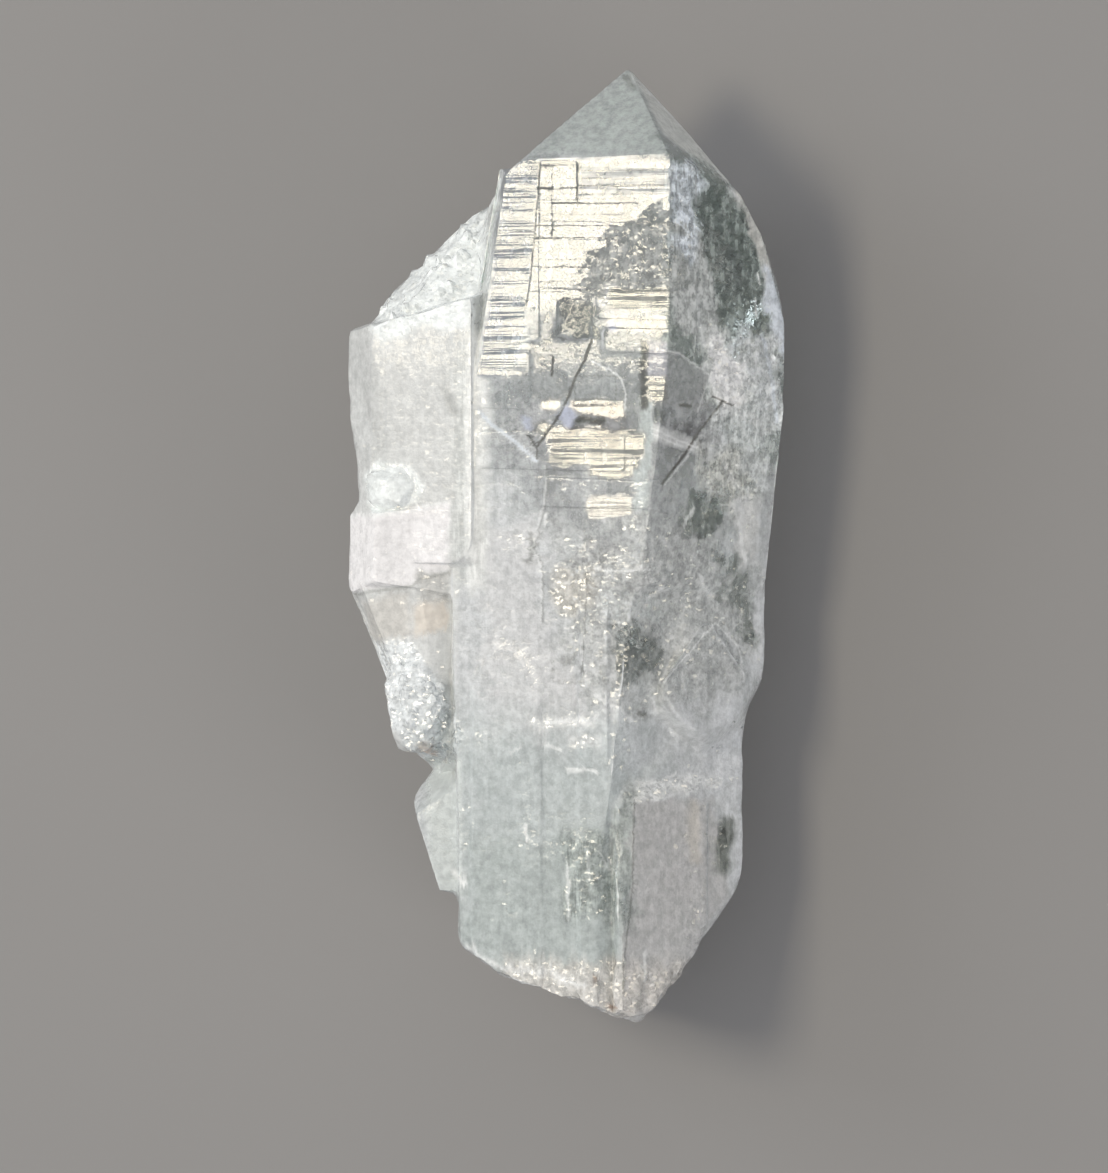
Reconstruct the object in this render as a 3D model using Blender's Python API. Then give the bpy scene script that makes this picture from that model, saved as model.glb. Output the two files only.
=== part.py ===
"""A Himalayan quartz specimen, lying on its back prism face: one stout clear point with stepped lower
growth, a milky side crystal with a frosted slope on its left, and a small lobe of druzy points. All of it
grew together, so it is one solid.

It is worked out in millimetres as it is seen from the front quarter, with x across to the right, y up along
the c-axis towards the termination and z towards the viewer. The last step lays it on its back and brings it
to metres. Blender 4.5.
"""

import math
import random

import bmesh
import bpy
from mathutils import Matrix, Vector, noise
from mathutils.bvhtree import BVHTree

NODE = "quartz_crystal"
COLLECTION = "himalayan_druzy_quartz"
HELPERS = "growth_pieces"

# Prism faces stand 60 degrees apart round the c-axis.
# An azimuth is measured from the viewer towards the right.
VIEW_TURN = 18.0
FRONT = -VIEW_TURN
RIGHT = FRONT + 60.0
RIGHT_BACK = FRONT + 120.0
BACK = FRONT + 180.0
LEFT_BACK = FRONT + 240.0
LEFT = FRONT + 300.0
RHOMB = 38.2  # how far a rhombohedron face leans from the c-axis

# Driving sizes in millimetres, with the c-axis at x = 0 and the specimen's middle height at y = 0.
APEX = (1.6, 47.65, 4.6)
FRONT_DEPTH = 13.0  # from the axis to the front face
BACK_DEPTH = 13.0  # from the axis to the back face, on which it rests
WAIST_HEIGHT = 14.0  # where the right side is widest
BLANK = 220.0  # the side of the cube that each crystal is cut from
SEED = 11
CRUMB = 0.004  # edges shorter than this are closed up

QUARTZ_COLOUR = (0.78, 0.81, 0.79, 1.0)
QUARTZ_ROUGHNESS = 0.12
QUARTZ_IOR = 1.544


def facing(azimuth, rise):
    """The unit normal of a face that looks along an azimuth and leans upwards by rise, in degrees."""
    turn, lean = math.radians(azimuth), math.radians(rise)
    return Vector((math.cos(lean) * math.sin(turn), math.sin(lean), math.cos(lean) * math.cos(turn)))


def on_prism(azimuth, distance, rise=0.0, height=0.0):
    """A face at a distance from the c-axis at one height, leaning by rise."""
    level = facing(azimuth, 0.0) * distance
    return azimuth, rise, Vector((level.x, height, level.z))


def across_face(azimuth, distance, sideways, height):
    """A point on a prism face: sideways along it, seen from outside, and up it."""
    normal = facing(azimuth, 0.0)
    along = Vector((normal.z, 0.0, -normal.x))
    return normal * distance + along * sideways + Vector((0.0, height, 0.0))


def grown(faces):
    """A closed crystal: a cube with everything outside each face's plane cut away and the cut filled."""
    block = bmesh.new()
    bmesh.ops.create_cube(block, size=BLANK)
    for azimuth, rise, point in faces:
        cut = bmesh.ops.bisect_plane(
            block,
            geom=block.verts[:] + block.edges[:] + block.faces[:],
            dist=1e-5,
            plane_co=Vector(point),
            plane_no=facing(azimuth, rise),
            clear_outer=True,
        )
        rim = [item for item in cut["geom_cut"] if isinstance(item, bmesh.types.BMEdge)]
        if rim:
            bmesh.ops.contextual_create(block, geom=rim)
    bmesh.ops.recalc_face_normals(block, faces=block.faces[:])
    return block


def helper(name, block):
    """Puts a closed mesh in the helpers' collection, out of the render."""
    mesh = bpy.data.meshes.new(name)
    block.to_mesh(mesh)
    block.free()
    obj = bpy.data.objects.new(name, mesh)
    bpy.data.collections[HELPERS].objects.link(obj)
    obj.hide_render = True
    obj.display_type = "WIRE"
    return obj


def combine(target, others, operation="UNION"):
    """Joins or cuts the target with each helper in turn, with an exact Boolean that is applied."""
    for other in others:
        step = target.modifiers.new("growth", "BOOLEAN")
        step.operation = operation
        step.object = other
        step.solver = "EXACT"
        bpy.context.view_layer.update()
        seen = target.evaluated_get(bpy.context.evaluated_depsgraph_get())
        result = bpy.data.meshes.new_from_object(seen)
        target.modifiers.clear()
        old = target.data
        target.data = result
        bpy.data.meshes.remove(old)


def flanks(outward):
    """The faces beside the front one, moved outward: the right one in two leans and the tapered left one."""
    return [
        on_prism(RIGHT, 15.2 + outward),
        on_prism(RIGHT, 14.55 + outward, -6.0, WAIST_HEIGHT),
        on_prism(LEFT, 12.9 + outward, 8.2, 34.0),
    ]


def main_point():
    """The upper crystal: its termination, tapered left side, rounded right shoulder and wedge-shaped foot."""
    return grown(
        [
            on_prism(FRONT, FRONT_DEPTH),
            *flanks(0.0),
            on_prism(RIGHT_BACK, 15.9, 0.0),
            on_prism(RIGHT_BACK, 15.9, -5.6, WAIST_HEIGHT),
            on_prism(BACK, BACK_DEPTH - 0.6),
            on_prism(LEFT_BACK, 13.6, 4.0, 10.0),
            (-19.6, 44.2, APEX),
            (-98.0, 46.0, APEX),
            (62.0, 42.5, APEX),
            (110.0, 35.0, APEX),
            (BACK, RHOMB, APEX),
            (LEFT_BACK, RHOMB, APEX),
            (88.0, 27.0, (15.2, 31.5, 0.0)),
            (84.0, 13.0, (16.8, 26.0, 0.0)),
            (-62.0, -48.0, (-12.0, -1.0, 9.0)),
            (36.0, -56.0, (9.0, -5.0, 8.0)),
            (BACK, -50.0, (0.0, -2.0, -12.0)),
        ]
    )


def lower_body():
    """The stepped lower half, which tapers downwards on its right."""
    return grown(
        [
            on_prism(FRONT, FRONT_DEPTH - 0.45),
            on_prism(RIGHT, 12.3, -6.0, 2.4),
            on_prism(RIGHT_BACK, 15.1, -6.2, 4.0),
            on_prism(BACK, BACK_DEPTH),
            on_prism(LEFT_BACK, 14.4),
            (-90.0, -1.2, (-15.9, -8.0, 0.0)),
            (FRONT, RHOMB + 6.0, (0.0, 9.5, 13.0)),
            (LEFT, RHOMB, (-15.4, 5.5, 8.5)),
            (RIGHT, RHOMB + 4.0, (8.5, 10.5, 8.0)),
            (BACK, RHOMB, across_face(BACK, BACK_DEPTH, 0.0, 17.0)),
            (RIGHT_BACK, RHOMB, across_face(RIGHT_BACK, 15.0, 0.0, 12.0)),
        ]
    )


def broken_base():
    """What the specimen's lower end is broken off along: everything outside these faces is gone."""
    return grown(
        [
            (-90.0, -59.0, (-11.3, -42.6, 0.0)),
            (-90.0, -71.0, (-9.6, -43.4, 0.0)),
            (20.0, -79.0, (-1.0, -47.4, 10.0)),
            (90.0, -38.0, (9.5, -38.9, 4.0)),
            (BACK, -54.0, (0.0, -43.0, -8.0)),
        ]
    )


# Pointed growths that share the body's directions, so that their faces step in and out.
# Each row: name, distances to the six faces from front round to left, bottom, and the tip.
POINTED_GROWTHS = (
    ("left_ledge", (12.0, 9.0, 8.0, 9.0, 12.0, 17.0), -22.0, (-13.0, -1.5, 7.0)),
    ("right_flank", (9.6, 10.5, 12.3, 3.0, 6.0, 2.0), -40.0, (9.6, -13.6, 4.6)),
    ("right_rib", (7.0, 12.0, 14.4, 5.0, 6.0, 0.0), -17.0, (12.2, 2.6, 3.2)),
    ("right_pyramid", (9.9, 12.4, 12.6, 4.0, 6.0, -2.0), -20.0, (9.4, -7.4, 8.2)),
    ("front_left_slab", (12.8, 3.4, 3.0, 6.0, 9.0, 15.7), -60.0, (-10.6, -9.0, 9.0)),
    ("front_middle_slab", (13.05, 9.6, 6.0, 6.0, 5.0, 6.0), -23.5, (-0.2, 2.5, 12.2)),
    ("front_foot", (13.0, 8.8, 4.0, 6.0, 3.0, 6.0), -60.0, (-2.6, -29.0, 11.6)),
    ("back_slab", (9.0, 11.4, 12.7, 12.6, 8.0, 4.0), -24.0, (7.0, 3.0, -6.0)),
    ("back_left", (7.0, 9.0, 6.0, 12.3, 15.2, 14.5), -38.0, (-9.0, 8.0, -6.5)),
    ("back_shoulder", (2.0, 9.0, 16.3, 12.1, 9.0, 4.0), 2.0, (9.0, 24.0, -4.0)),
)

# Flat-topped growths: name, the six distances, then the faces that end them above and below.
BLUNT_GROWTHS = (
    (
        "right_corner",
        (12.75, 10.9, 8.0, -2.0, 6.0, 2.6),
        ((14.0, 66.0, (4.6, -25.3, 11.0)), (70.0, 52.0, (9.0, -25.2, 8.0))),
    ),
    (
        "left_spike",
        (9.6, 4.0, 4.0, 2.0, 14.0, 24.0),
        (
            (-60.0, 46.0, (-19.2, -26.2, 3.0)),
            (-92.0, -17.0, (-18.8, -30.0, 2.0)),
            (-90.0, -80.0, (-17.0, -34.8, 0.0)),
        ),
    ),
)


def parallel(distances, ends):
    """A growth with the six shared prism directions at its own distances, and the faces that end it."""
    azimuths = (FRONT, RIGHT, RIGHT_BACK, BACK, LEFT_BACK, LEFT)
    sides = [on_prism(azimuth, distance) for azimuth, distance in zip(azimuths, distances)]
    return grown(sides + list(ends))


def pointed(distances, bottom, tip):
    """A parallel growth with a rhombohedral tip and a blunt lower end."""
    point = [(azimuth, RHOMB, tip) for azimuth in (FRONT, RIGHT, RIGHT_BACK, BACK, LEFT_BACK, LEFT)]
    foot = (tip[0], bottom, tip[2])
    return parallel(distances, point + [(FRONT - 30.0, -58.0, foot), (RIGHT + 30.0, -40.0, foot)])


def side_crystal():
    """The milky crystal on the left, with its frosted slope above."""
    return grown(
        [
            (-14.0, 0.0, (-20.0, 12.0, 6.4)),
            (-66.0, 0.0, (-24.4, 12.0, 2.4)),
            (-118.0, 0.0, (-25.2, 12.0, -1.0)),
            (-178.0, 0.0, (-18.0, 12.0, -7.6)),
            (60.0, 0.0, (-4.0, 12.0, 6.0)),
            (-70.0, 41.7, (-18.6, 28.5, -3.0)),
            (-9.0, 34.0, (-18.5, 21.6, 5.8)),
            (-160.0, 36.0, (-16.0, 30.0, -4.0)),
            (0.0, -90.0, (0.0, -3.0, 0.0)),
        ]
    )


def side_wall():
    """The striped, flat-topped crystal that makes the specimen's left edge."""
    return grown(
        [
            (-22.0, 0.0, (-22.6, 12.0, 6.3)),
            (-62.0, 1.0, (-26.2, 12.0, 2.0)),
            (-96.0, 0.6, (-26.5, 12.0, 0.0)),
            (-92.0, -6.4, (-26.5, 15.6, 0.0)),
            (-150.0, 0.0, (-25.6, 12.0, -3.6)),
            (170.0, 0.0, (-21.0, 12.0, -5.6)),
            (60.0, 0.0, (-12.0, 12.0, 6.0)),
            (-80.0, 74.0, (-25.0, 21.9, 0.0)),
            (0.0, -90.0, (0.0, -2.0, 0.0)),
        ]
    )


def side_block():
    """The square-shouldered block half way down the milky crystal."""
    return grown(
        [
            (-6.0, -3.0, (-21.0, -1.0, 7.2)),
            (-64.0, 0.0, (-25.6, 0.0, 3.4)),
            (-110.0, 2.0, (-26.1, -2.0, 0.4)),
            (-150.0, 0.0, (-25.0, 0.0, -3.6)),
            (178.0, 0.0, (-20.0, 0.0, -6.0)),
            (55.0, 0.0, (-8.0, 0.0, 9.0)),
            (-20.0, 62.0, (-20.0, 4.2, 6.0)),
            (-120.0, 55.0, (-25.8, 2.6, 0.0)),
            (-30.0, -70.0, (-21.0, -4.6, 6.0)),
            (-110.0, -45.0, (-25.9, -4.6, 0.0)),
        ]
    )


def side_foot():
    """The faceted foot of the milky crystal, which narrows downwards to the druzy lobe."""
    return grown(
        [
            (-22.0, -8.0, (-20.0, -8.0, 6.2)),
            (12.0, -4.0, (-18.0, -8.0, 6.6)),
            (-74.0, -21.0, (-24.0, -9.0, 2.0)),
            (-125.0, -18.0, (-23.2, -9.0, -2.0)),
            (175.0, -6.0, (-20.0, -8.0, -5.6)),
            (60.0, 0.0, (-9.0, 0.0, 6.0)),
            (0.0, 90.0, (0.0, -4.0, 0.0)),
            (-40.0, -60.0, (-19.5, -20.6, 2.0)),
        ]
    )


def lump(centre, radii, rough, fineness=2):
    """A rounded, uneven lobe: a sphere of triangles pushed in and out by smooth noise."""
    block = bmesh.new()
    bmesh.ops.create_icosphere(block, subdivisions=fineness, radius=1.0)
    for vert in block.verts:
        swell = 1.0 + rough * noise.noise(vert.co * 2.1 + Vector(centre))
        vert.co = Vector(centre) + Vector(c * r for c, r in zip(vert.co * swell, radii))
    return block


def small_point(foot, direction, width, length):
    """A tiny crystal: a six-sided prism with a pyramid on top, standing half sunk at foot along direction."""
    block = bmesh.new()
    bmesh.ops.create_cone(
        block, cap_ends=True, segments=6, radius1=width / 2, radius2=width / 2.15, depth=length
    )
    top = max(block.faces, key=lambda face: face.calc_center_median().z)
    bmesh.ops.poke(block, faces=[top], offset=width * 0.55)
    upright = direction.to_track_quat("Z", "Y").to_matrix().to_4x4()
    block.transform(Matrix.Translation(foot) @ upright)
    return block


# Patches of small points: name, how many, middle and half size of the patch across and up, its tilt in
# degrees, the way the points lean, and their least and greatest width.
DRUZY_PATCHES = (
    ("lobe", 50, (-19.5, -15.6), (2.7, 5.2), 34.0, (-0.1, 0.8, 0.25), (0.6, 1.5)),
    ("slope", 60, (-18.2, 27.0), (7.4, 2.9), 47.0, (-0.2, 0.9, 0.15), (0.6, 1.7)),
)


def druzy(body, patch, draw):
    """The small points of one patch, each standing on the body where a line from the viewer meets it."""
    _, count, middle, half, tilt, lean, widths = patch
    block = bmesh.new()
    block.from_mesh(body.data)
    surface = BVHTree.FromBMesh(block)
    block.free()
    turn = Matrix.Rotation(math.radians(tilt), 2)
    points = []
    for _ in range(count):
        ring, angle = math.sqrt(draw.random()), draw.uniform(0.0, math.tau)
        offset = turn @ Vector((half[0] * ring * math.cos(angle), half[1] * ring * math.sin(angle)))
        width = widths[0] + (widths[1] - widths[0]) * draw.random() ** 2
        jitter = Vector(draw.uniform(-0.14, 0.14) for _ in range(3))
        start = Vector((middle[0] + offset.x, middle[1] + offset.y, BLANK / 4))
        place, normal, _, _ = surface.ray_cast(start, Vector((0.0, 0.0, -1.0)))
        if place is None:
            continue
        direction = (normal * 0.45 + Vector(lean) + jitter).normalized()
        points.append(small_point(place - direction * width * 0.85, direction, width, width * 1.9))
    return points


# Steps on the front face: left and right along the face, bottom, top, and how far each stands out.
# A step that reaches past the face's side edges runs round the corner by a hair.
FRONT_STEPS = (
    (-16.0, -3.5, 20.2, 37.0, 0.10),
    (-3.4, 12.0, 31.9, 37.4, 0.12),
    (-3.4, 0.5, 34.0, 38.0, 0.24),
    (-3.6, 12.0, 25.3, 30.3, 0.08),
    (2.4, 12.0, 22.2, 24.6, 0.20),
    (3.0, 12.0, 18.8, 21.4, 0.26),
    (-16.0, -4.4, 13.6, 19.4, 0.20),
    (-16.0, 5.4, 7.6, 11.4, 0.15),
    (-3.4, 12.0, 3.6, 6.6, 0.22),
)
OVERHANG, OVERHANG_STEP = 0.04, 0.017

# The recess in the front face, given the same way, with its depth.
FRONT_RECESS = (-1.7, 1.8, 20.3, 24.1, 0.45)

# Hollows: centre and radii.
HOLLOWS = (
    ((2.9, -17.0, 14.1), (1.3, 0.8, 1.6)),
    ((0.6, -29.0, 14.3), (1.0, 4.2, 1.7)),
    ((11.6, -30.0, 6.9), (1.2, 3.2, 1.9)),
    ((-4.4, -12.4, 12.9), (1.7, 0.9, 1.3)),
    ((0.6, -0.6, 14.4), (2.2, 1.0, 1.3)),
    ((4.6, -9.0, 12.8), (1.0, 2.6, 1.2)),
)


def front_block(left, right, bottom, top, inner, outer, overhang):
    """A block in the front face between two distances from the axis. It passes the flanks by the overhang."""
    return grown(
        [
            on_prism(FRONT, outer),
            *flanks(overhang),
            (BACK, 0.0, across_face(FRONT, inner, 0.0, 0.0)),
            (FRONT - 78.0, 0.0, across_face(FRONT, FRONT_DEPTH, left, 0.0)),
            (FRONT + 80.0, 0.0, across_face(FRONT, FRONT_DEPTH, right, 0.0)),
            (FRONT + 8.0, 76.0, across_face(FRONT, FRONT_DEPTH, left, top)),
            (FRONT - 8.0, -79.0, across_face(FRONT, FRONT_DEPTH, left, bottom)),
        ]
    )


# Rough regions: a centre, a radius, how long an edge may stay there, how deep the roughness is and how fine.
ROUGH_REGIONS = (
    ((-19.0, 27.0, 1.0), 9.5, 1.7, 0.55, 0.55),
    ((-26.5, 10.0, 2.0), 7.0, 1.9, 0.40, 0.50),
    ((-2.0, -48.0, 2.0), 15.0, 2.4, 0.75, 0.30),
    ((4.0, 26.0, 15.0), 4.5, 1.2, 0.20, 0.80),
    ((-20.0, -16.0, 3.0), 6.5, 1.6, 0.40, 0.55),
    ((12.5, -4.0, 6.0), 9.0, 2.2, 0.30, 0.40),
    ((-4.0, -20.0, 13.0), 19.0, 3.6, 0.22, 0.22),
)
ROUGH_ROUNDS = 6


def halve(edge):
    """Splits an edge between triangles in two and joins its middle to the corner opposite in each of them."""
    _, middle = bmesh.utils.edge_split(edge, edge.verts[0], 0.5)
    for face in list(middle.link_faces):
        corner = next(loop for loop in face.loops if loop.vert == middle)
        bmesh.utils.face_split(face, middle, corner.link_loop_next.link_loop_next.vert)


def wobble(point):
    """A smooth random vector: the same noise read at three places apart."""
    return Vector(noise.noise(point + Vector((apart, 0.0, 0.0))) for apart in (0.0, 31.7, 67.3))


def roughen(block, centre, reach, spacing, depth, fineness):
    """Halves the edges of a region until none is longer than spacing, then moves its points by noise."""
    centre = Vector(centre)
    for _ in range(ROUGH_ROUNDS):
        long_edges = [
            edge
            for edge in block.edges
            if edge.calc_length() > spacing
            and (edge.verts[0].co + edge.verts[1].co - centre * 2).length < reach * 2
        ]
        long_edges.sort(key=lambda edge: -edge.calc_length())
        for edge in long_edges:
            halve(edge)
    for vert in block.verts:
        away = (vert.co - centre).length / reach
        if away < 1.0:
            fade = min(1.0, 2.5 * (1.0 - away))
            vert.co += wobble(vert.co * fineness) * depth * fade


def make_solid():
    """Unites every growth, breaks the base off, then cuts the hollows and plants the druzy points."""
    body = helper("main_point", main_point())
    combine(body, [helper("lower_body", lower_body())])
    combine(body, [helper(name, pointed(*row)) for name, *row in POINTED_GROWTHS])
    combine(body, [helper(name, parallel(*row)) for name, *row in BLUNT_GROWTHS])
    for number, (*sides, height) in enumerate(FRONT_STEPS):
        overhang = OVERHANG + OVERHANG_STEP * number
        step = front_block(*sides, FRONT_DEPTH - 3.0, FRONT_DEPTH + height, overhang)
        combine(body, [helper(f"front_step_{number}", step)])
    side = [
        helper("side_crystal", side_crystal()),
        helper("side_wall", side_wall()),
        helper("side_block", side_block()),
        helper("side_foot", side_foot()),
        helper("pebble_lobe", lump((-21.9, 5.5, 5.0), (3.1, 2.7, 3.4), 0.25)),
        helper("druzy_lobe", lump((-19.2, -16.0, 3.8), (3.7, 5.4, 3.8), 0.25)),
    ]
    combine(body, side)
    combine(body, [helper("broken_base", broken_base())], "INTERSECT")
    *sides, depth = FRONT_RECESS
    recess = front_block(*sides, FRONT_DEPTH - depth, FRONT_DEPTH + 3.0, OVERHANG)
    combine(body, [helper("front_recess", recess)], "DIFFERENCE")
    combine(body, [helper(f"hollow_{i}", lump(*row, 0.45)) for i, row in enumerate(HOLLOWS)], "DIFFERENCE")
    draw = random.Random(SEED)
    for patch in DRUZY_PATCHES:
        points = druzy(body, patch, draw)
        combine(body, [helper(f"{patch[0]}_{i}", point) for i, point in enumerate(points)])
    return body


def drop_sealed_pockets(block):
    """Keeps the one big surface and deletes the tiny closed ones left between crossing points."""
    seen, biggest = set(), set()
    for start in block.verts:
        if start in seen:
            continue
        group, front = {start}, [start]
        while front:
            for edge in front.pop().link_edges:
                fresh = [vert for vert in edge.verts if vert not in group]
                group.update(fresh)
                front.extend(fresh)
        seen |= group
        biggest = max(biggest, group, key=len)
    pockets = [vert for vert in block.verts if vert not in biggest]
    bmesh.ops.delete(block, geom=pockets, context="VERTS")


def lay_down(mesh):
    """Turns the specimen until its back face is level below it, sets that on z = 0 and goes to metres."""
    mesh.transform(Matrix.Rotation(math.radians(VIEW_TURN), 4, "Y"))
    low = [min(vert.co[axis] for vert in mesh.vertices) for axis in range(3)]
    high = [max(vert.co[axis] for vert in mesh.vertices) for axis in range(3)]
    middle = Vector(((low[0] + high[0]) / 2, (low[1] + high[1]) / 2, -BACK_DEPTH))
    mesh.transform(Matrix.Scale(0.001, 4) @ Matrix.Translation(-middle))


def quartz_material():
    """Clear to milky quartz."""
    material = bpy.data.materials.new("quartz")
    material.use_nodes = True
    shader = material.node_tree.nodes["Principled BSDF"]
    shader.inputs["Base Color"].default_value = QUARTZ_COLOUR
    shader.inputs["Roughness"].default_value = QUARTZ_ROUGHNESS
    shader.inputs["Metallic"].default_value = 0.0
    shader.inputs["IOR"].default_value = QUARTZ_IOR
    return material


def main():
    for obj in list(bpy.data.objects):
        bpy.data.objects.remove(obj, do_unlink=True)
    for name in (COLLECTION, HELPERS):
        bpy.context.scene.collection.children.link(bpy.data.collections.new(name))
    bpy.data.collections[HELPERS].hide_render = True

    body = make_solid()
    block = bmesh.new()
    block.from_mesh(body.data)
    drop_sealed_pockets(block)
    bmesh.ops.triangulate(block, faces=block.faces[:])
    bmesh.ops.dissolve_degenerate(block, edges=block.edges[:], dist=CRUMB)
    for region in ROUGH_REGIONS:
        roughen(block, *region)
    block.to_mesh(body.data)
    block.free()
    lay_down(body.data)

    body.name = NODE
    body.hide_render = False
    body.display_type = "TEXTURED"
    body.data.materials.clear()
    body.data.materials.append(quartz_material())
    bpy.data.collections[COLLECTION].objects.link(body)
    bpy.data.collections[HELPERS].objects.unlink(body)


main()
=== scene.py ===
"""Dresses a packed quartz specimen: a clear, stepped point with a milky side crystal and druzy patches.

The specimen lies on its back face. Places on it are written as they are seen from the front quarter, in
millimetres: x across to the right, y up along the crystal's axis, z towards the viewer. Blender 4.5.
"""

import math

import bpy
import numpy as np
from bpy.props import FloatProperty, FloatVectorProperty, PointerProperty
from mathutils import Matrix, Vector


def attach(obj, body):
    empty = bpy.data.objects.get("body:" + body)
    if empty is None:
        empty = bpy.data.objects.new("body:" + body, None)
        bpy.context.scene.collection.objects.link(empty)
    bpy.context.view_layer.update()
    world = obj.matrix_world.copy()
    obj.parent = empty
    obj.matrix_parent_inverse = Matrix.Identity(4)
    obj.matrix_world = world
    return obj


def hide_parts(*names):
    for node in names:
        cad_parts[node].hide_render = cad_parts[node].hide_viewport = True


bl_info = {
    "name": "Druzy Quartz Specimen",
    "version": (1, 0, 0),
    "blender": (4, 5, 0),
    "location": "View3D > Sidebar > Quartz",
    "description": "Dresses a packed quartz crystal with growth lines, frost, veils and soft light",
    "category": "Object",
}

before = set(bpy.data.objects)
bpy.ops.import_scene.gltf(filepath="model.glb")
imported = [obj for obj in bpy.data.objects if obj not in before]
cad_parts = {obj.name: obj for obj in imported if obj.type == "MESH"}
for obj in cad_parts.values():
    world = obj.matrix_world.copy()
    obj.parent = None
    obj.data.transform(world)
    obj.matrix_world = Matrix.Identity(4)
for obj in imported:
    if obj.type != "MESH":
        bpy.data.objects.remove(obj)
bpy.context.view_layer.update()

NODE = "quartz_crystal"
MM = 1000.0  # millimetres in a metre
TURN = math.radians(18.0)  # from the seen frame to the resting one, about the crystal's axis
APEX_SEEN = (1.6, 47.65, 4.6)  # the tip of the point, in the seen frame
BACK_DEPTH = 13.0  # from the crystal's axis down to the face it rests on
VIEW_MIDDLE = (-5.9, -4.3, 4.0)  # what the camera looks at, in the seen frame
FRAME_HEIGHT = 117.3  # how much of the specimen's height the picture takes in, in millimetres
FRONT_FACE = (-3.0, 24.0, 13.0)  # the middle of the mosaic window, in the seen frame
KEY_DISTANCE = 0.6  # from the front face to its lamp, in metres
KEY_RISE = 0.056  # how far the lamp stands towards the tip, in metres
KEY_AIM = 0.037  # how far its aim lies towards the tip, in metres
LOW_SHARE = 0.95  # of the left light's power, for the low one at the right
SENSOR = 36.0  # the width of the camera's sensor, in millimetres
LIGHT_BOUNCES = 6

# The fineness of the dressed surface. Lengths are in millimetres.
TRIANGLE_LIMIT = 199000
SPLIT_ROUNDS = 10
EDGE_BEHIND = 3.2
EDGE_SAVED_IN_FRONT = 2.25
EDGE_IN_WINDOW = 0.55
EDGE_ON_RIGHT_FACE = 0.75
EDGE_ON_PATH = 0.25
EASE_ROUNDS = 12
EASE_EVERYWHERE = 0.06
EASE_MOST = 0.95
SINK = 0.05  # how far the relief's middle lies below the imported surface
SHARP_ANGLE = math.radians(24.0)
MIRROR_PULL = 12.0  # how much a mirror patch outweighs the surface's own normal


def tip_offset():
    """How far the resting frame's middle is from the crystal's axis, in millimetres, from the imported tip."""
    points = node_points() * MM
    tip = points[points[:, 1].argmax()]
    across = APEX_SEEN[0] * math.cos(TURN) + APEX_SEEN[2] * math.sin(TURN)
    return np.array([across - tip[0], APEX_SEEN[1] - tip[1], -BACK_DEPTH])


def node_points():
    """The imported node's vertices as an array, in metres."""
    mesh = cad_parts[NODE].data
    points = np.empty(len(mesh.vertices) * 3)
    mesh.vertices.foreach_get("co", points)
    return points.reshape(-1, 3)


OFFSET = tip_offset()
SEEN_AXES = np.array(
    [
        [math.cos(TURN), 0.0, -math.sin(TURN)],
        [0.0, 1.0, 0.0],
        [math.sin(TURN), 0.0, math.cos(TURN)],
    ]
)


def to_seen(points):
    """Resting metres to seen millimetres: add the offset, then turn about the crystal's axis."""
    return (points * MM + OFFSET) @ SEEN_AXES.T


def to_rest(points):
    """Seen millimetres to resting metres: turn back, take off the offset and scale."""
    return (np.asarray(points, float) @ SEEN_AXES - OFFSET) / MM


# Arithmetic on whole arrays


def smooth_step(low, high, value):
    """0 below low, 1 above high and 3t² - 2t³ between."""
    t = np.clip((value - low) / (high - low), 0.0, 1.0)
    return t * t * (3.0 - 2.0 * t)


def lattice_value(cells, seed):
    """A repeatable number from -1 to 1 for each row of whole numbers: a hash of its three parts."""
    mixed = cells[:, 0] * 73856093 ^ cells[:, 1] * 19349663 ^ cells[:, 2] * 83492791 ^ (seed * 2654435761)
    mixed = (mixed ^ (mixed >> 13)) * 1274126177
    return ((mixed ^ (mixed >> 16)) & 0xFFFF) / 32767.5 - 1.0


def soft_noise(points, size, seed):
    """Smooth noise from -1 to 1: the values at a lattice's eight corners, blended by 3t² - 2t³."""
    place = points / size
    cell = np.floor(place).astype(np.int64)
    part = place - cell
    blend = part * part * (3.0 - 2.0 * part)
    total = np.zeros(len(points))
    for corner in np.ndindex(2, 2, 2):
        corner = np.array(corner)
        weight = np.where(corner == 1, blend, 1.0 - blend).prod(axis=1)
        total += weight * lattice_value(cell + corner, seed)
    return total


def layered_noise(points, size, seed, layers=3):
    """Soft noise summed over layers, each half as large and half as strong as the one before."""
    return sum(soft_noise(points, size / 2**n, seed + n) / 2**n for n in range(layers))


def path_distance(path, x, y):
    """The distance from each point to the nearest part of a path."""
    nearest = np.full(len(x), 1e9)
    for (ax, ay), (bx, by) in zip(path[:-1], path[1:]):
        dx, dy = bx - ax, by - ay
        along = np.clip(((x - ax) * dx + (y - ay) * dy) / (dx * dx + dy * dy), 0.0, 1.0)
        nearest = np.minimum(nearest, np.hypot(x - ax - along * dx, y - ay - along * dy))
    return nearest


def within(outline, x, y, soft):
    """How far inside an outline each point is: 1 inside, 0 outside, blended over soft at the edge.
    The sign of the distance counts how many sides a line to the right crosses."""
    closed = (*outline, outline[0])
    inside = np.zeros(len(x), bool)
    for (ax, ay), (bx, by) in zip(closed[:-1], closed[1:]):
        if ay != by:
            inside ^= ((ay > y) != (by > y)) & (x < (bx - ax) * (y - ay) / (by - ay) + ax)
    distance = path_distance(closed, x, y)
    return smooth_step(-soft, soft, np.where(inside, distance, -distance))


# The specimen's surface


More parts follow.
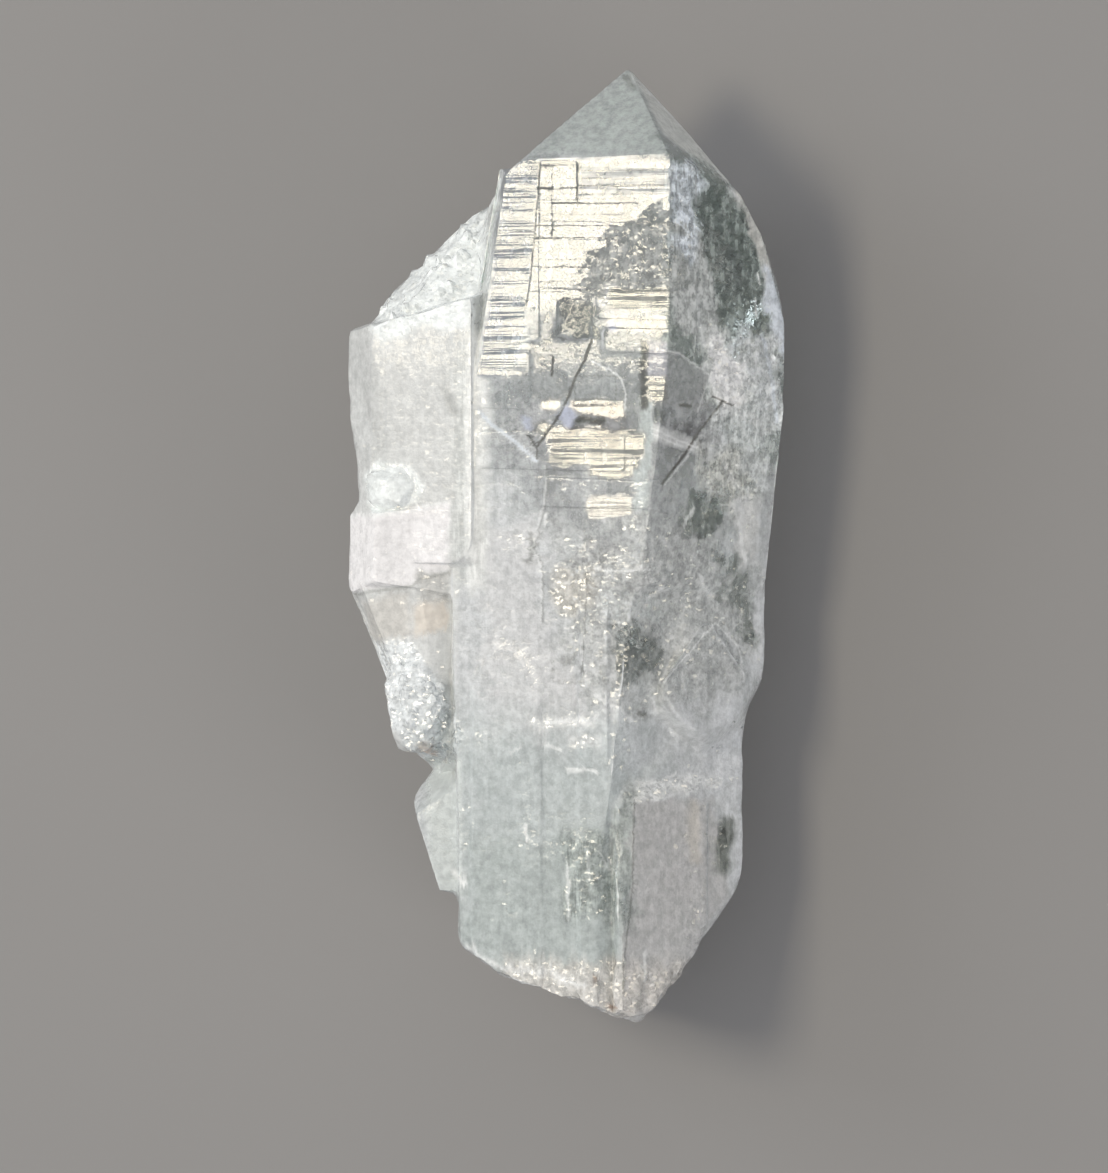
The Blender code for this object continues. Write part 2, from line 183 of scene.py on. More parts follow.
def merged(points, corners):
    """Joins vertices at the same place: returns the places that differ and the triangles between them."""
    places = np.round(points * 1e7).astype(np.int64)
    _, first, number = np.unique(places, axis=0, return_index=True, return_inverse=True)
    corners = number.reshape(-1)[corners]
    whole = (corners != np.roll(corners, 1, axis=1)).all(axis=1)
    return points[first], corners[whole]


def halved(points, corners, limit):
    """One round of splitting: each edge longer than its own limit gets a middle point, and its triangles are
    cut in 2, 3 or 4 according to how many of their edges were split."""
    sides = np.stack([corners, np.roll(corners, -1, axis=1)], axis=2)
    keys = np.sort(sides.reshape(-1, 2), axis=1)
    edges, number = np.unique(keys, axis=0, return_inverse=True)
    number = number.reshape(-1, 3)
    ends = points[edges]
    length = np.linalg.norm(ends[:, 0] - ends[:, 1], axis=1)
    split = length > limit(ends.mean(axis=1))
    middle = np.full(len(edges), -1)
    middle[split] = len(points) + np.arange(split.sum())
    points = np.concatenate([points, ends[split].mean(axis=1)])
    mids = middle[number]
    count = (mids >= 0).sum(axis=1)
    made = [corners[count == 0]]
    # One edge split: turn the triangle until it is the first one.
    some = count == 1
    turn = (mids[some] >= 0).argmax(axis=1)
    a, b, c = turned(corners[some], turn)
    m = mids[some][np.arange(some.sum()), turn]
    made += [np.stack([a, m, c], 1), np.stack([m, b, c], 1)]
    # Two edges split: turn it until the third one is whole.
    some = count == 2
    turn = ((mids[some] < 0).argmax(axis=1) + 1) % 3
    a, b, c = turned(corners[some], turn)
    m, n, _ = turned(mids[some], turn)
    made += [np.stack([m, b, n], 1), np.stack([a, m, n], 1), np.stack([a, n, c], 1)]
    # All three split.
    some = count == 3
    a, b, c = corners[some].T
    m, n, o = mids[some].T
    made += [np.stack(t, 1) for t in ((a, m, o), (m, b, n), (o, n, c), (m, n, o))]
    return points, np.concatenate(made)


def turned(rows, turn):
    """The three columns of each row, starting from its own column."""
    index = (turn[:, None] + np.arange(3)) % 3
    return np.take_along_axis(rows, index, axis=1).T


def face_normals(points, corners):
    """Each triangle's normal, as long as twice its area."""
    a, b, c = (points[corners[:, n]] for n in range(3))
    return np.cross(b - a, c - a)


def vertex_normals(points, corners):
    """The sum of the normals of the triangles round each vertex, made one long."""
    normals = np.zeros_like(points)
    flat = face_normals(points, corners)
    for n in range(3):
        np.add.at(normals, corners[:, n], flat)
    return normals / np.maximum(np.linalg.norm(normals, axis=1, keepdims=True), 1e-12)


# Finishes by place, as outlines in the seen frame, in millimetres.


def block(left, top, right, bottom):
    """The outline of an upright block."""
    return ((left, top), (right, top), (right, bottom), (left, bottom))


# Fixed tints. White and blue-white are painted highlights on edges, streaks and glints, and shade and deep
# shade are painted shade in steps, creases and lines. The rows below also name three that are settings:
# cream, milk and frost; the cream is the front lamp's reflection, painted into the mirror patches.
LILAC = (0.66, 0.70, 0.86)
BLUE_HIGHLIGHT = (0.84, 0.90, 0.97)
HIGHLIGHT_WHITE = (0.93, 0.94, 0.93)
BEIGE = (0.83, 0.78, 0.71)
SHADE = (0.34, 0.33, 0.29)
DEEP_SHADE = (0.20, 0.17, 0.13)
RUST = (0.34, 0.2, 0.12)

# Finishes that several rows share: a patch that mirrors the front lamp, and one that also has the lamp's
# cream reflection painted into its tint.
MIRROR = {"mirror": 1.0, "crust": 0.0, "mottle": 0.1}
GLOSSY_PAINTED_REFLECTION = {**MIRROR, "tint": "painted_reflection_cream", "rough": 0.06}

# Each row: an outline, how soft and how ragged its edge is, its share, and the finish inside it.
REGIONS = (
    # The milky crystal on the left, with its frosted slope, pebble, block and druzy lobe.
    (((-30, 25), (-23.4, 22.4), (-13.2, 21.8), (-13.4, 12), (-14.6, 6), (-15.4, -4.4), (-15.8, -13),
     (-15, -24), (-30, -24)), 0.5, 0.5, 1.0, {"haze": 0.84, "tint": "milk", "rough": 0.26, "striae": 0.2,
     "mottle": 0.06, "crust": 0.15}),
    (((-26.8, 20.6), (-24.6, 20.8), (-22.6, 15), (-22.8, 8.2), (-25, 7)), 1.0, 1.0, 0.5, {"haze": 0.55}),
    # A darker band along the crease between the milky crystal and the front one: painted crease shade.
    (block(-16.4, 21.4, -14.0, -2.0), 1.2, 1.2, 0.4, {"haze": 0.66, "tint": (0.80, 0.82, 0.80)}),
    (((-17.4, 16.2), (-15.4, 14.2), (-15.2, 12.6), (-16.4, 12.8)), 0.3, 0.2, 0.7, {"haze": 0.5,
     "tint": (0.7, 0.71, 0.69)}),
    (((-9.8, 38), (-12.2, 33), (-12.6, 28), (-13.4, 21.8), (-19, 21.2), (-22.6, 20.2), (-25, 22.6),
     (-20, 27.6), (-14, 34)), 0.5, 0.7, 1.0, {"haze": 0.93, "tint": "frost", "rough": 0.36, "crust": 0.8,
     "mottle": 0.15}),
    (((-24.9, 6.6), (-23.4, 8.4), (-20, 7.6), (-18.8, 5.4), (-20.4, 3.4), (-24, 2.8)), 0.25, 0.3, 1.0,
     {"haze": 0.88, "tint": "frost", "rough": 0.12, "crust": 0.3, "mottle": 0.2}),
    (((-26.9, 2.9), (-23, 3.1), (-16.2, 4.2), (-16.1, 0), (-16.3, -2.5), (-19.3, -3.2), (-20, -4.0),
     (-23, -4.4), (-27, -5.0)), 0.25, 0.3, 1.0, {"haze": 0.92, "tint": (0.90, 0.885, 0.89), "rough": 0.22,
     "mottle": 0.1, "crust": 0.2}),
    (block(-19.6, -2.8, -16.3, -5.7), 0.4, 0.6, 0.8, {"haze": 0.62, "tint": (0.76, 0.75, 0.72),
     "crust": 0.5}),
    (block(-19.8, -5.7, -16.4, -9.0), 0.3, 0.5, 0.9, {"haze": 0.80, "tint": (0.86, 0.79, 0.70),
     "rough": 0.3}),
    (((-25.2, -6), (-20.6, -5), (-20, -9), (-21, -10.4), (-24.4, -10)), 0.4, 0.5, 0.8, {"haze": 0.66,
     "tint": (0.84, 0.81, 0.76)}),
    (((-24.2, -9.9), (-20.4, -9.6), (-17.6, -13.5), (-15.9, -16.3), (-14.9, -19.4), (-15.6, -21.2),
     (-18.5, -22.2), (-20.4, -20.8), (-22, -18.7), (-24, -14)), 0.3, 0.5, 1.0, {"haze": 0.86,
     "tint": (0.89, 0.92, 0.93), "rough": 0.12, "crust": 1.0, "mottle": 0.25}),
    (((-19.2, -20.1), (-18.0, -19.9), (-17.7, -21.1), (-18.8, -21.5)), 0.3, 0.6, 0.85, {"haze": 0.85,
     "tint": (0.58, 0.38, 0.27), "rough": 0.5}),
    # The narrow side face between the milky crystal and the front one.
    (((-11.3, 37.4), (-10.8, 35.4), (-11.6, 28), (-12.8, 21.4), (-13.2, 16), (-13.3, -4), (-15.8, -4),
     (-15.8, 14), (-15.2, 21), (-13.4, 26), (-12.7, 31)), 0.6, 0.8, 0.8, {"haze": 0.60,
     "tint": (0.84, 0.86, 0.84), "crust": 0.2, "streaks": 0.4}),
    (((1.6, 47.8), (-8.6, 38.6), (5.6, 38.4)), 0.4, 0.3, 0.8, {"haze": 0.44, "tint": (0.74, 0.79, 0.77),
     "mottle": 0.05, "crust": 0.05}),
    # The left flank beside the crease, lightened: painted light that lifts the shade along the crease.
    (block(-14.6, 21.0, -12.4, -5.0), 0.7, 0.4, 0.9, {"haze": 0.80, "tint": (0.90, 0.91, 0.89)}),
    # The right prism face: dark and clear above, with streaks and clouds. Its bluish-white streaks and the
    # pale outer strip along its right edge are painted highlights.
    (((1.6, 47.8), (8.7, 41), (13, 35), (9.7, 36.5), (6.2, 39.3), (4.4, 41.6)), 0.3, 0.3, 0.9,
     {"haze": 0.78, "tint": (0.96, 0.97, 0.92), "rough": 0.12, "mottle": 0.15}),
    (((5.4, 38.4), (9, 38), (13, 34), (16.4, 27), (17.6, 15), (17, 8), (12, 10), (8.6, 15), (4.6, 14),
     (5.2, 24)), 0.8, 1.0, 1.0, {"haze": 0.12, "tint": (0.74, 0.80, 0.76), "rough": 0.05, "streaks": 0.3,
     "crust": 0.4, "mottle": 0.7}),
    (((8.4, 36.8), (12.6, 34.8), (13.6, 31.3), (14.8, 27.6), (15.6, 24), (16.8, 21.2), (17.3, 13.5),
     (15.0, 15.6), (12.0, 19.0), (10.0, 19.7), (9.2, 27.4), (8.4, 32.6)), 0.8, 1.8, 1.0, {"haze": 0.02,
     "tint": (0.50, 0.56, 0.53), "streaks": 0.55, "crust": 0.6, "mottle": 0.9}),
    (((12.3, 35.6), (12.5, 34.3), (13.4, 31.3), (14.7, 27.6), (15.4, 24), (16.6, 21.4), (17.1, 18.3),
     (19.4, 18), (19.4, 28), (15, 36)), 0.2, 0.4, 0.95, {"haze": 0.62, "tint": (0.87, 0.86, 0.81),
     "streaks": 0.2, "mottle": 0.4}),
    (((14.7, 27.8), (16.2, 27.4), (17.6, 23), (17.8, 18), (16.7, 19.2), (15.4, 24)), 0.3, 0.8, 0.9,
     {"haze": 0.88, "tint": BLUE_HIGHLIGHT, "crust": 0.4}),
    (((6.0, 30.6), (8.8, 31), (9.6, 27.3), (10.3, 21), (6.4, 20.5), (5.6, 25)), 0.4, 0.6, 0.85,
     {"haze": 0.56, "tint": (0.84, 0.85, 0.84), "rough": 0.2, "crust": 0.1, "streaks": 0.1}),
    (((5.4, 38), (8.4, 37.4), (8.8, 33), (8.2, 30.4), (7.4, 27.8), (6.2, 28.4), (5.5, 32)), 0.5, 1.4, 0.9,
     {"haze": 0.60, "tint": BLUE_HIGHLIGHT, "streaks": 1.0, "crust": 1.0, "mottle": 0.9}),
    (((8.4, 20.6), (11, 21.4), (12.2, 18.4), (13.7, 15.6), (13.2, 13.2), (11, 12.6), (9.8, 14.6),
     (9.2, 17)), 1.0, 1.3, 1.0, {"haze": 0.98, "tint": (1.0, 1.0, 0.98), "streaks": 0.3, "crust": 0.9,
     "mottle": 0.5}),
    (((12, 21.2), (16.6, 21), (17.2, 11), (13.6, 10.4), (13.4, 15), (12.2, 18.4)), 1.0, 1.4, 0.9,
     {"haze": 0.66, "streaks": 0.3, "tint": (0.94, 0.96, 0.97), "crust": 0.8, "mottle": 0.6}),
    (((9.0, 19.8), (11.2, 20.6), (12.4, 17.6), (11.4, 15.2), (9.9, 15.9)), 0.4, 1.7, 1.0, {"haze": 1.0,
     "tint": (1.0, 1.0, 0.99), "rough": 0.2, "crust": 0.95, "mottle": 0.4, "streaks": 0.0}),
    (((4.4, 19.0), (6.4, 18.8), (9.5, 16.6), (8.2, 12.9), (4.2, 13.5)), 0.25, 0.5, 0.9, {"haze": 0.36,
     "tint": (0.72, 0.73, 0.73), "crust": 0.05, "mottle": 0.1, "streaks": 0.0}),
    # A white band with growth lines: a painted highlight along a step.
    (((3.7, 12.0), (8.7, 9.8), (8.7, 8.6), (3.7, 10.2)), 0.3, 0.4, 0.8, {"haze": 0.72, "tint": HIGHLIGHT_WHITE,
     "striae": 0.6}),
    (((10.6, 13.8), (16.6, 14), (16, 5), (12, 4), (8, 7)), 1.0, 2.0, 0.8, {"haze": 0.56,
     "tint": (0.90, 0.93, 0.92), "streaks": 0.4, "crust": 0.6, "mottle": 0.6}),
    (((7.7, 9.6), (12, 10), (13.7, 6), (12, 3), (8.4, 3.4)), 1.2, 2.4, 0.8, {"haze": 0.46,
     "tint": (0.82, 0.82, 0.76), "crust": 1.0, "streaks": 0.4, "mottle": 0.9}),
    (block(12.1, 4.6, 14.6, -2.8), 0.5, 0.9, 0.8, {"haze": 0.74, "tint": (0.88, 0.88, 0.86)}),
    (((2.2, 14.4), (4.0, 14.4), (3.7, 8), (3.3, 3.0), (1.8, 3.0), (2.2, 8)), 0.3, 0.6, 0.7, {"haze": 0.62,
     "tint": (0.85, 0.93, 0.92)}),
    # The broad smooth body, its clearer right half and its greener foot.
    (((-4.5, 0.5), (4, 2), (11, 3), (14, -4), (13.6, -13), (7, -17), (-1, -16), (-4.5, -9)), 2.5, 3.0, 0.8,
     {"haze": 0.45, "tint": (0.86, 0.87, 0.86), "mottle": 0.4, "crust": 0.5}),
    (((7.2, 4.6), (9.8, 5.0), (11.6, 3.2), (10.8, 0.4), (9.6, 0.8), (8.2, -0.4), (6.6, 1.6)), 0.6, 1.7,
     0.85, {"haze": 0.08, "tint": (0.45, 0.49, 0.46), "streaks": 0.5, "crust": 0.7, "mottle": 0.6}),
    (((10.4, -0.6), (12.2, -1.6), (14.0, -6), (14.5, -10.2), (13.0, -9.6), (11.4, -5)), 0.5, 1.5, 0.8,
     {"haze": 0.12, "tint": (0.47, 0.50, 0.47), "streaks": 0.5, "crust": 0.7, "mottle": 0.6}),
    (((-13, 2), (-7.6, 2), (-7.2, -8), (-3, -14), (-3, -20), (-13, -20)), 1.0, 1.5, 0.8, {"haze": 0.68,
     "tint": (0.84, 0.84, 0.845), "mottle": 0.16}),
    (block(-18, -17.5, 3, -44), 5.0, 3.0, 0.9, {"haze": 0.68, "tint": (0.64, 0.69, 0.685)}),
    (block(-15.5, -29, 2, -41.5), 2.5, 2.0, 0.8, {"haze": 0.66, "tint": (0.565, 0.615, 0.60)}),
    # The front face: a mosaic window above, broken growth in the middle.
    (((-8.0, 38.0), (5.7, 37.8), (5.8, 31.0), (0.6, 29.6), (-1.8, 26.8), (-4.2, 24.0), (-6.0, 23.3),
     (-8.6, 23.6)), 0.25, 0.6, 1.0, {**MIRROR, "haze": 0.22, "rough": 0.05, "striae": 0.0}),
    (block(-3.4, 37.3, 5.6, 34.0), 0.3, 0.5, 0.9, {"striae": 0.7, "haze": 0.3}),
    (((-11, 37.4), (-7.4, 37.8), (-8.7, 23.4), (-8.4, 16.8), (-13.6, 16.4), (-13, 21.4), (-12, 28)), 0.3,
     0.4, 1.0, {**MIRROR, "haze": 0.20, "rough": 0.06, "striae": 1.0, "tint": (0.74, 0.78, 0.86)}),
    (((5.7, 34.0), (3.0, 32.8), (0.4, 31.4), (-1.0, 29.6), (-2.3, 28.8), (-3.0, 26.4), (-4.6, 24.4),
     (-0.8, 25.4), (5.6, 26)), 0.3, 2.6, 0.95, {"haze": 0.26, "crust": 0.5, "rough": 0.10,
     "tint": (0.72, 0.74, 0.72), "mirror": 0.3, "mottle": 0.3}),
    (((-8.2, 22.6), (-5.6, 23.8), (-0.8, 22.8), (3, 20.6), (2.8, 13), (-1.4, 12.6), (-7.6, 14.4),
     (-10.6, 16.4)), 0.5, 0.6, 0.9, {"haze": 0.36, "crust": 0.08, "rough": 0.08,
     "tint": (0.70, 0.73, 0.73)}),
    (((-5.6, 23.1), (-4.9, 24.2), (-3.6, 23.8), (-2.4, 24.3), (-1.4, 23.4), (-2.0, 22), (-1.3, 20.7),
     (-3.2, 20.3), (-4.3, 21), (-5.9, 20.3), (-5.2, 21.7)), 0.4, 1.0, 0.85, {"haze": 0.12,
     "tint": (0.42, 0.44, 0.42), "crust": 0.3, "mottle": 0.2}),
    (block(-0.4, 25.3, 5.4, 23.1), 0.2, 0.5, 1.0, {**GLOSSY_PAINTED_REFLECTION, "striae": 1.0, "haze": 0.14}),
    (((-0.8, 22.4), (5.3, 22.4), (5.3, 20.8), (-0.8, 21.3)), 0.2, 0.3, 1.0, {**GLOSSY_PAINTED_REFLECTION, "striae": 0.5,
     "haze": 0.3}),
    (block(-0.8, 21.9, 0.3, 20.8), 0.15, 0.2, 0.9, {"haze": 0.6, "tint": LILAC, "mirror": 0.0}),
    (block(3.3, 19.9, 5.4, 16.4), 0.2, 0.2, 0.9, {"haze": 0.5, "tint": (0.70, 0.70, 0.76)}),
    (block(3.3, 16.4, 5.2, 14.0), 0.2, 0.2, 1.0, {**GLOSSY_PAINTED_REFLECTION, "striae": 1.0, "haze": 0.16}),
    (block(2.7, 19.9, 3.4, 13.3), 0.2, 0.2, 0.9, {"haze": 0.1, "tint": SHADE}),
    (block(-7.1, 14.3, -5.3, 13.1), 0.2, 0.3, 1.0, {**GLOSSY_PAINTED_REFLECTION, "haze": 0.35}),
    (((-4.3, 14.3), (0.9, 14.2), (1.2, 12.2), (-1.4, 12.6), (-4.0, 13.0)), 0.2, 0.4, 1.0, {**GLOSSY_PAINTED_REFLECTION,
     "striae": 0.5, "haze": 0.3}),
    (((-3.8, 12.7), (-0.8, 12.3), (-1.2, 11.7), (-3.8, 11.9)), 0.15, 0.2, 0.9, {"haze": 0.05,
     "tint": SHADE}),
    (((-5.7, 12.7), (-4.4, 13.9), (-3.5, 12.7), (-4.3, 10.8)), 0.2, 0.2, 0.95, {"haze": 0.55, "tint": LILAC,
     "mirror": 0.0}),
    (((-9.2, 12.7), (-8.2, 12.5), (-8.0, 11.0), (-8.8, 11.2)), 0.2, 0.2, 0.9, {"haze": 0.6, "tint": LILAC}),
    (((-7.4, 11.9), (2.8, 11.0), (2.7, 7.2), (-6.2, 7.9)), 0.3, 0.7, 1.0, {**GLOSSY_PAINTED_REFLECTION, "striae": 1.0,
     "haze": 0.16}),
    (block(-2.4, 8.7, 2.1, 6.5), 0.2, 0.5, 1.0, {**GLOSSY_PAINTED_REFLECTION, "striae": 1.0, "haze": 0.2}),
    (block(-5.0, 6.6, -3.0, 5.0), 0.3, 0.5, 0.9, {"haze": 0.45, "crust": 0.8}),
    # A patch that mirrors the front lamp, with the lamp's cream reflection painted into its tint.
    (block(-2.6, 4.6, 1.8, 2.5), 0.2, 0.5, 0.9, {**MIRROR, "striae": 0.8, "haze": 0.45, "tint": "painted_reflection_cream",
     "rough": 0.07}),
    # The body below: glints, smudges and clear pits. The cream of the mirror patch is the front lamp's
    # reflection painted in, and the white patches are painted glints beside real ones from the crust.
    (block(-5.9, -2.5, -1.7, -6.8), 0.5, 1.0, 0.9, {"mirror": 0.8, "crust": 0.9, "tint": "painted_reflection_cream",
     "rough": 0.08}),
    (((0.4, -8.6), (2.2, -8.2), (4.6, -9.2), (4.8, -11.4), (3.2, -12.2), (3.6, -13.6), (1.6, -14.4),
     (0.9, -12.8), (0.2, -12.4)), 0.5, 1.5, 0.8, {"haze": 0.18, "tint": (0.48, 0.50, 0.48), "crust": 0.7,
     "mottle": 0.6}),
    (block(-8.2, -17.2, -1.4, -18.2), 0.3, 0.7, 0.8, {"haze": 0.75, "tint": HIGHLIGHT_WHITE, "crust": 0.8}),
    (block(-3.9, -19.0, -1.2, -20.3), 0.3, 0.5, 0.8, {"haze": 0.7, "tint": HIGHLIGHT_WHITE, "crust": 0.8}),
    # The lower body and the small crystal at the foot.
    (block(-18.6, -21.6, -15.1, -35.2), 0.4, 0.5, 0.8, {"haze": 0.74, "tint": (0.80, 0.84, 0.82),
     "rough": 0.3}),
    (((2.0, -25.4), (9.8, -25.0), (12, -36), (8, -42), (5, -48), (0.4, -48.4), (1.4, -34)), 0.5, 0.6, 0.9,
     {"haze": 0.58, "tint": (0.84, 0.82, 0.81), "rough": 0.22, "mottle": 0.15}),
    # The small crystal's bright top edge: a painted highlight, with glinting crust.
    (((-0.6, -25.6), (0.6, -24.4), (10.4, -22.8), (10.8, -23.9), (2.2, -25.9)), 0.3, 0.7, 0.85,
     {"haze": 0.86, "tint": HIGHLIGHT_WHITE, "crust": 0.8}),
    (block(7.6, -25.6, 8.8, -31.8), 0.3, 0.4, 0.8, {"haze": 0.72, "tint": BEIGE}),
    (block(-0.2, -24.6, 1.7, -37.8), 0.7, 1.4, 0.7, {"haze": 0.34, "tint": (0.62, 0.66, 0.63),
     "mottle": 0.5, "streaks": 0.4}),
    (((-5.4, -29.8), (-0.6, -29.4), (0.2, -31.8), (-0.2, -37.4), (-4.2, -38.0), (-4.8, -33.4)), 0.5, 1.6,
     0.7, {"haze": 0.40, "tint": (0.50, 0.55, 0.52), "crust": 0.7, "mottle": 0.6, "streaks": 0.6}),
    (((10.1, -30.1), (10.6, -28), (11.3, -27.2), (12.1, -28), (12.5, -30.1), (12.1, -32.2), (11.3, -33),
     (10.6, -32.2)), 0.5, 0.8, 0.85, {"haze": 0.12, "tint": (0.36, 0.38, 0.34), "streaks": 0.7,
     "mottle": 0.15}),
    (((-11, -41), (8, -41.4), (7, -45), (0, -48.5), (-11, -46)), 1.0, 1.5, 0.6, {"tint": (0.88, 0.82, 0.75),
     "haze": 0.7, "crust": 1.0, "mottle": 0.4}),
)

# Finishes along lines. The dark and faint ones are painted shade along growth steps and creases, where
# they also lean the normal away from the front lamp; the bright and blue ones are painted highlights along
# edges and in glints.
PAINTED_SHADE_LINE = {"haze": 0.15, "tint": DEEP_SHADE, "mirror": 0.0, "lean": 0.3}
FAINT_PAINTED_SHADE = {"haze": 0.2, "tint": SHADE, "mirror": 0.0, "lean": 0.25}
PAINTED_HIGHLIGHT = {"haze": 0.9, "tint": HIGHLIGHT_WHITE, "mirror": 0.0}
PAINTED_BLUE_HIGHLIGHT = {"haze": 0.85, "tint": BLUE_HIGHLIGHT, "mirror": 0.0}

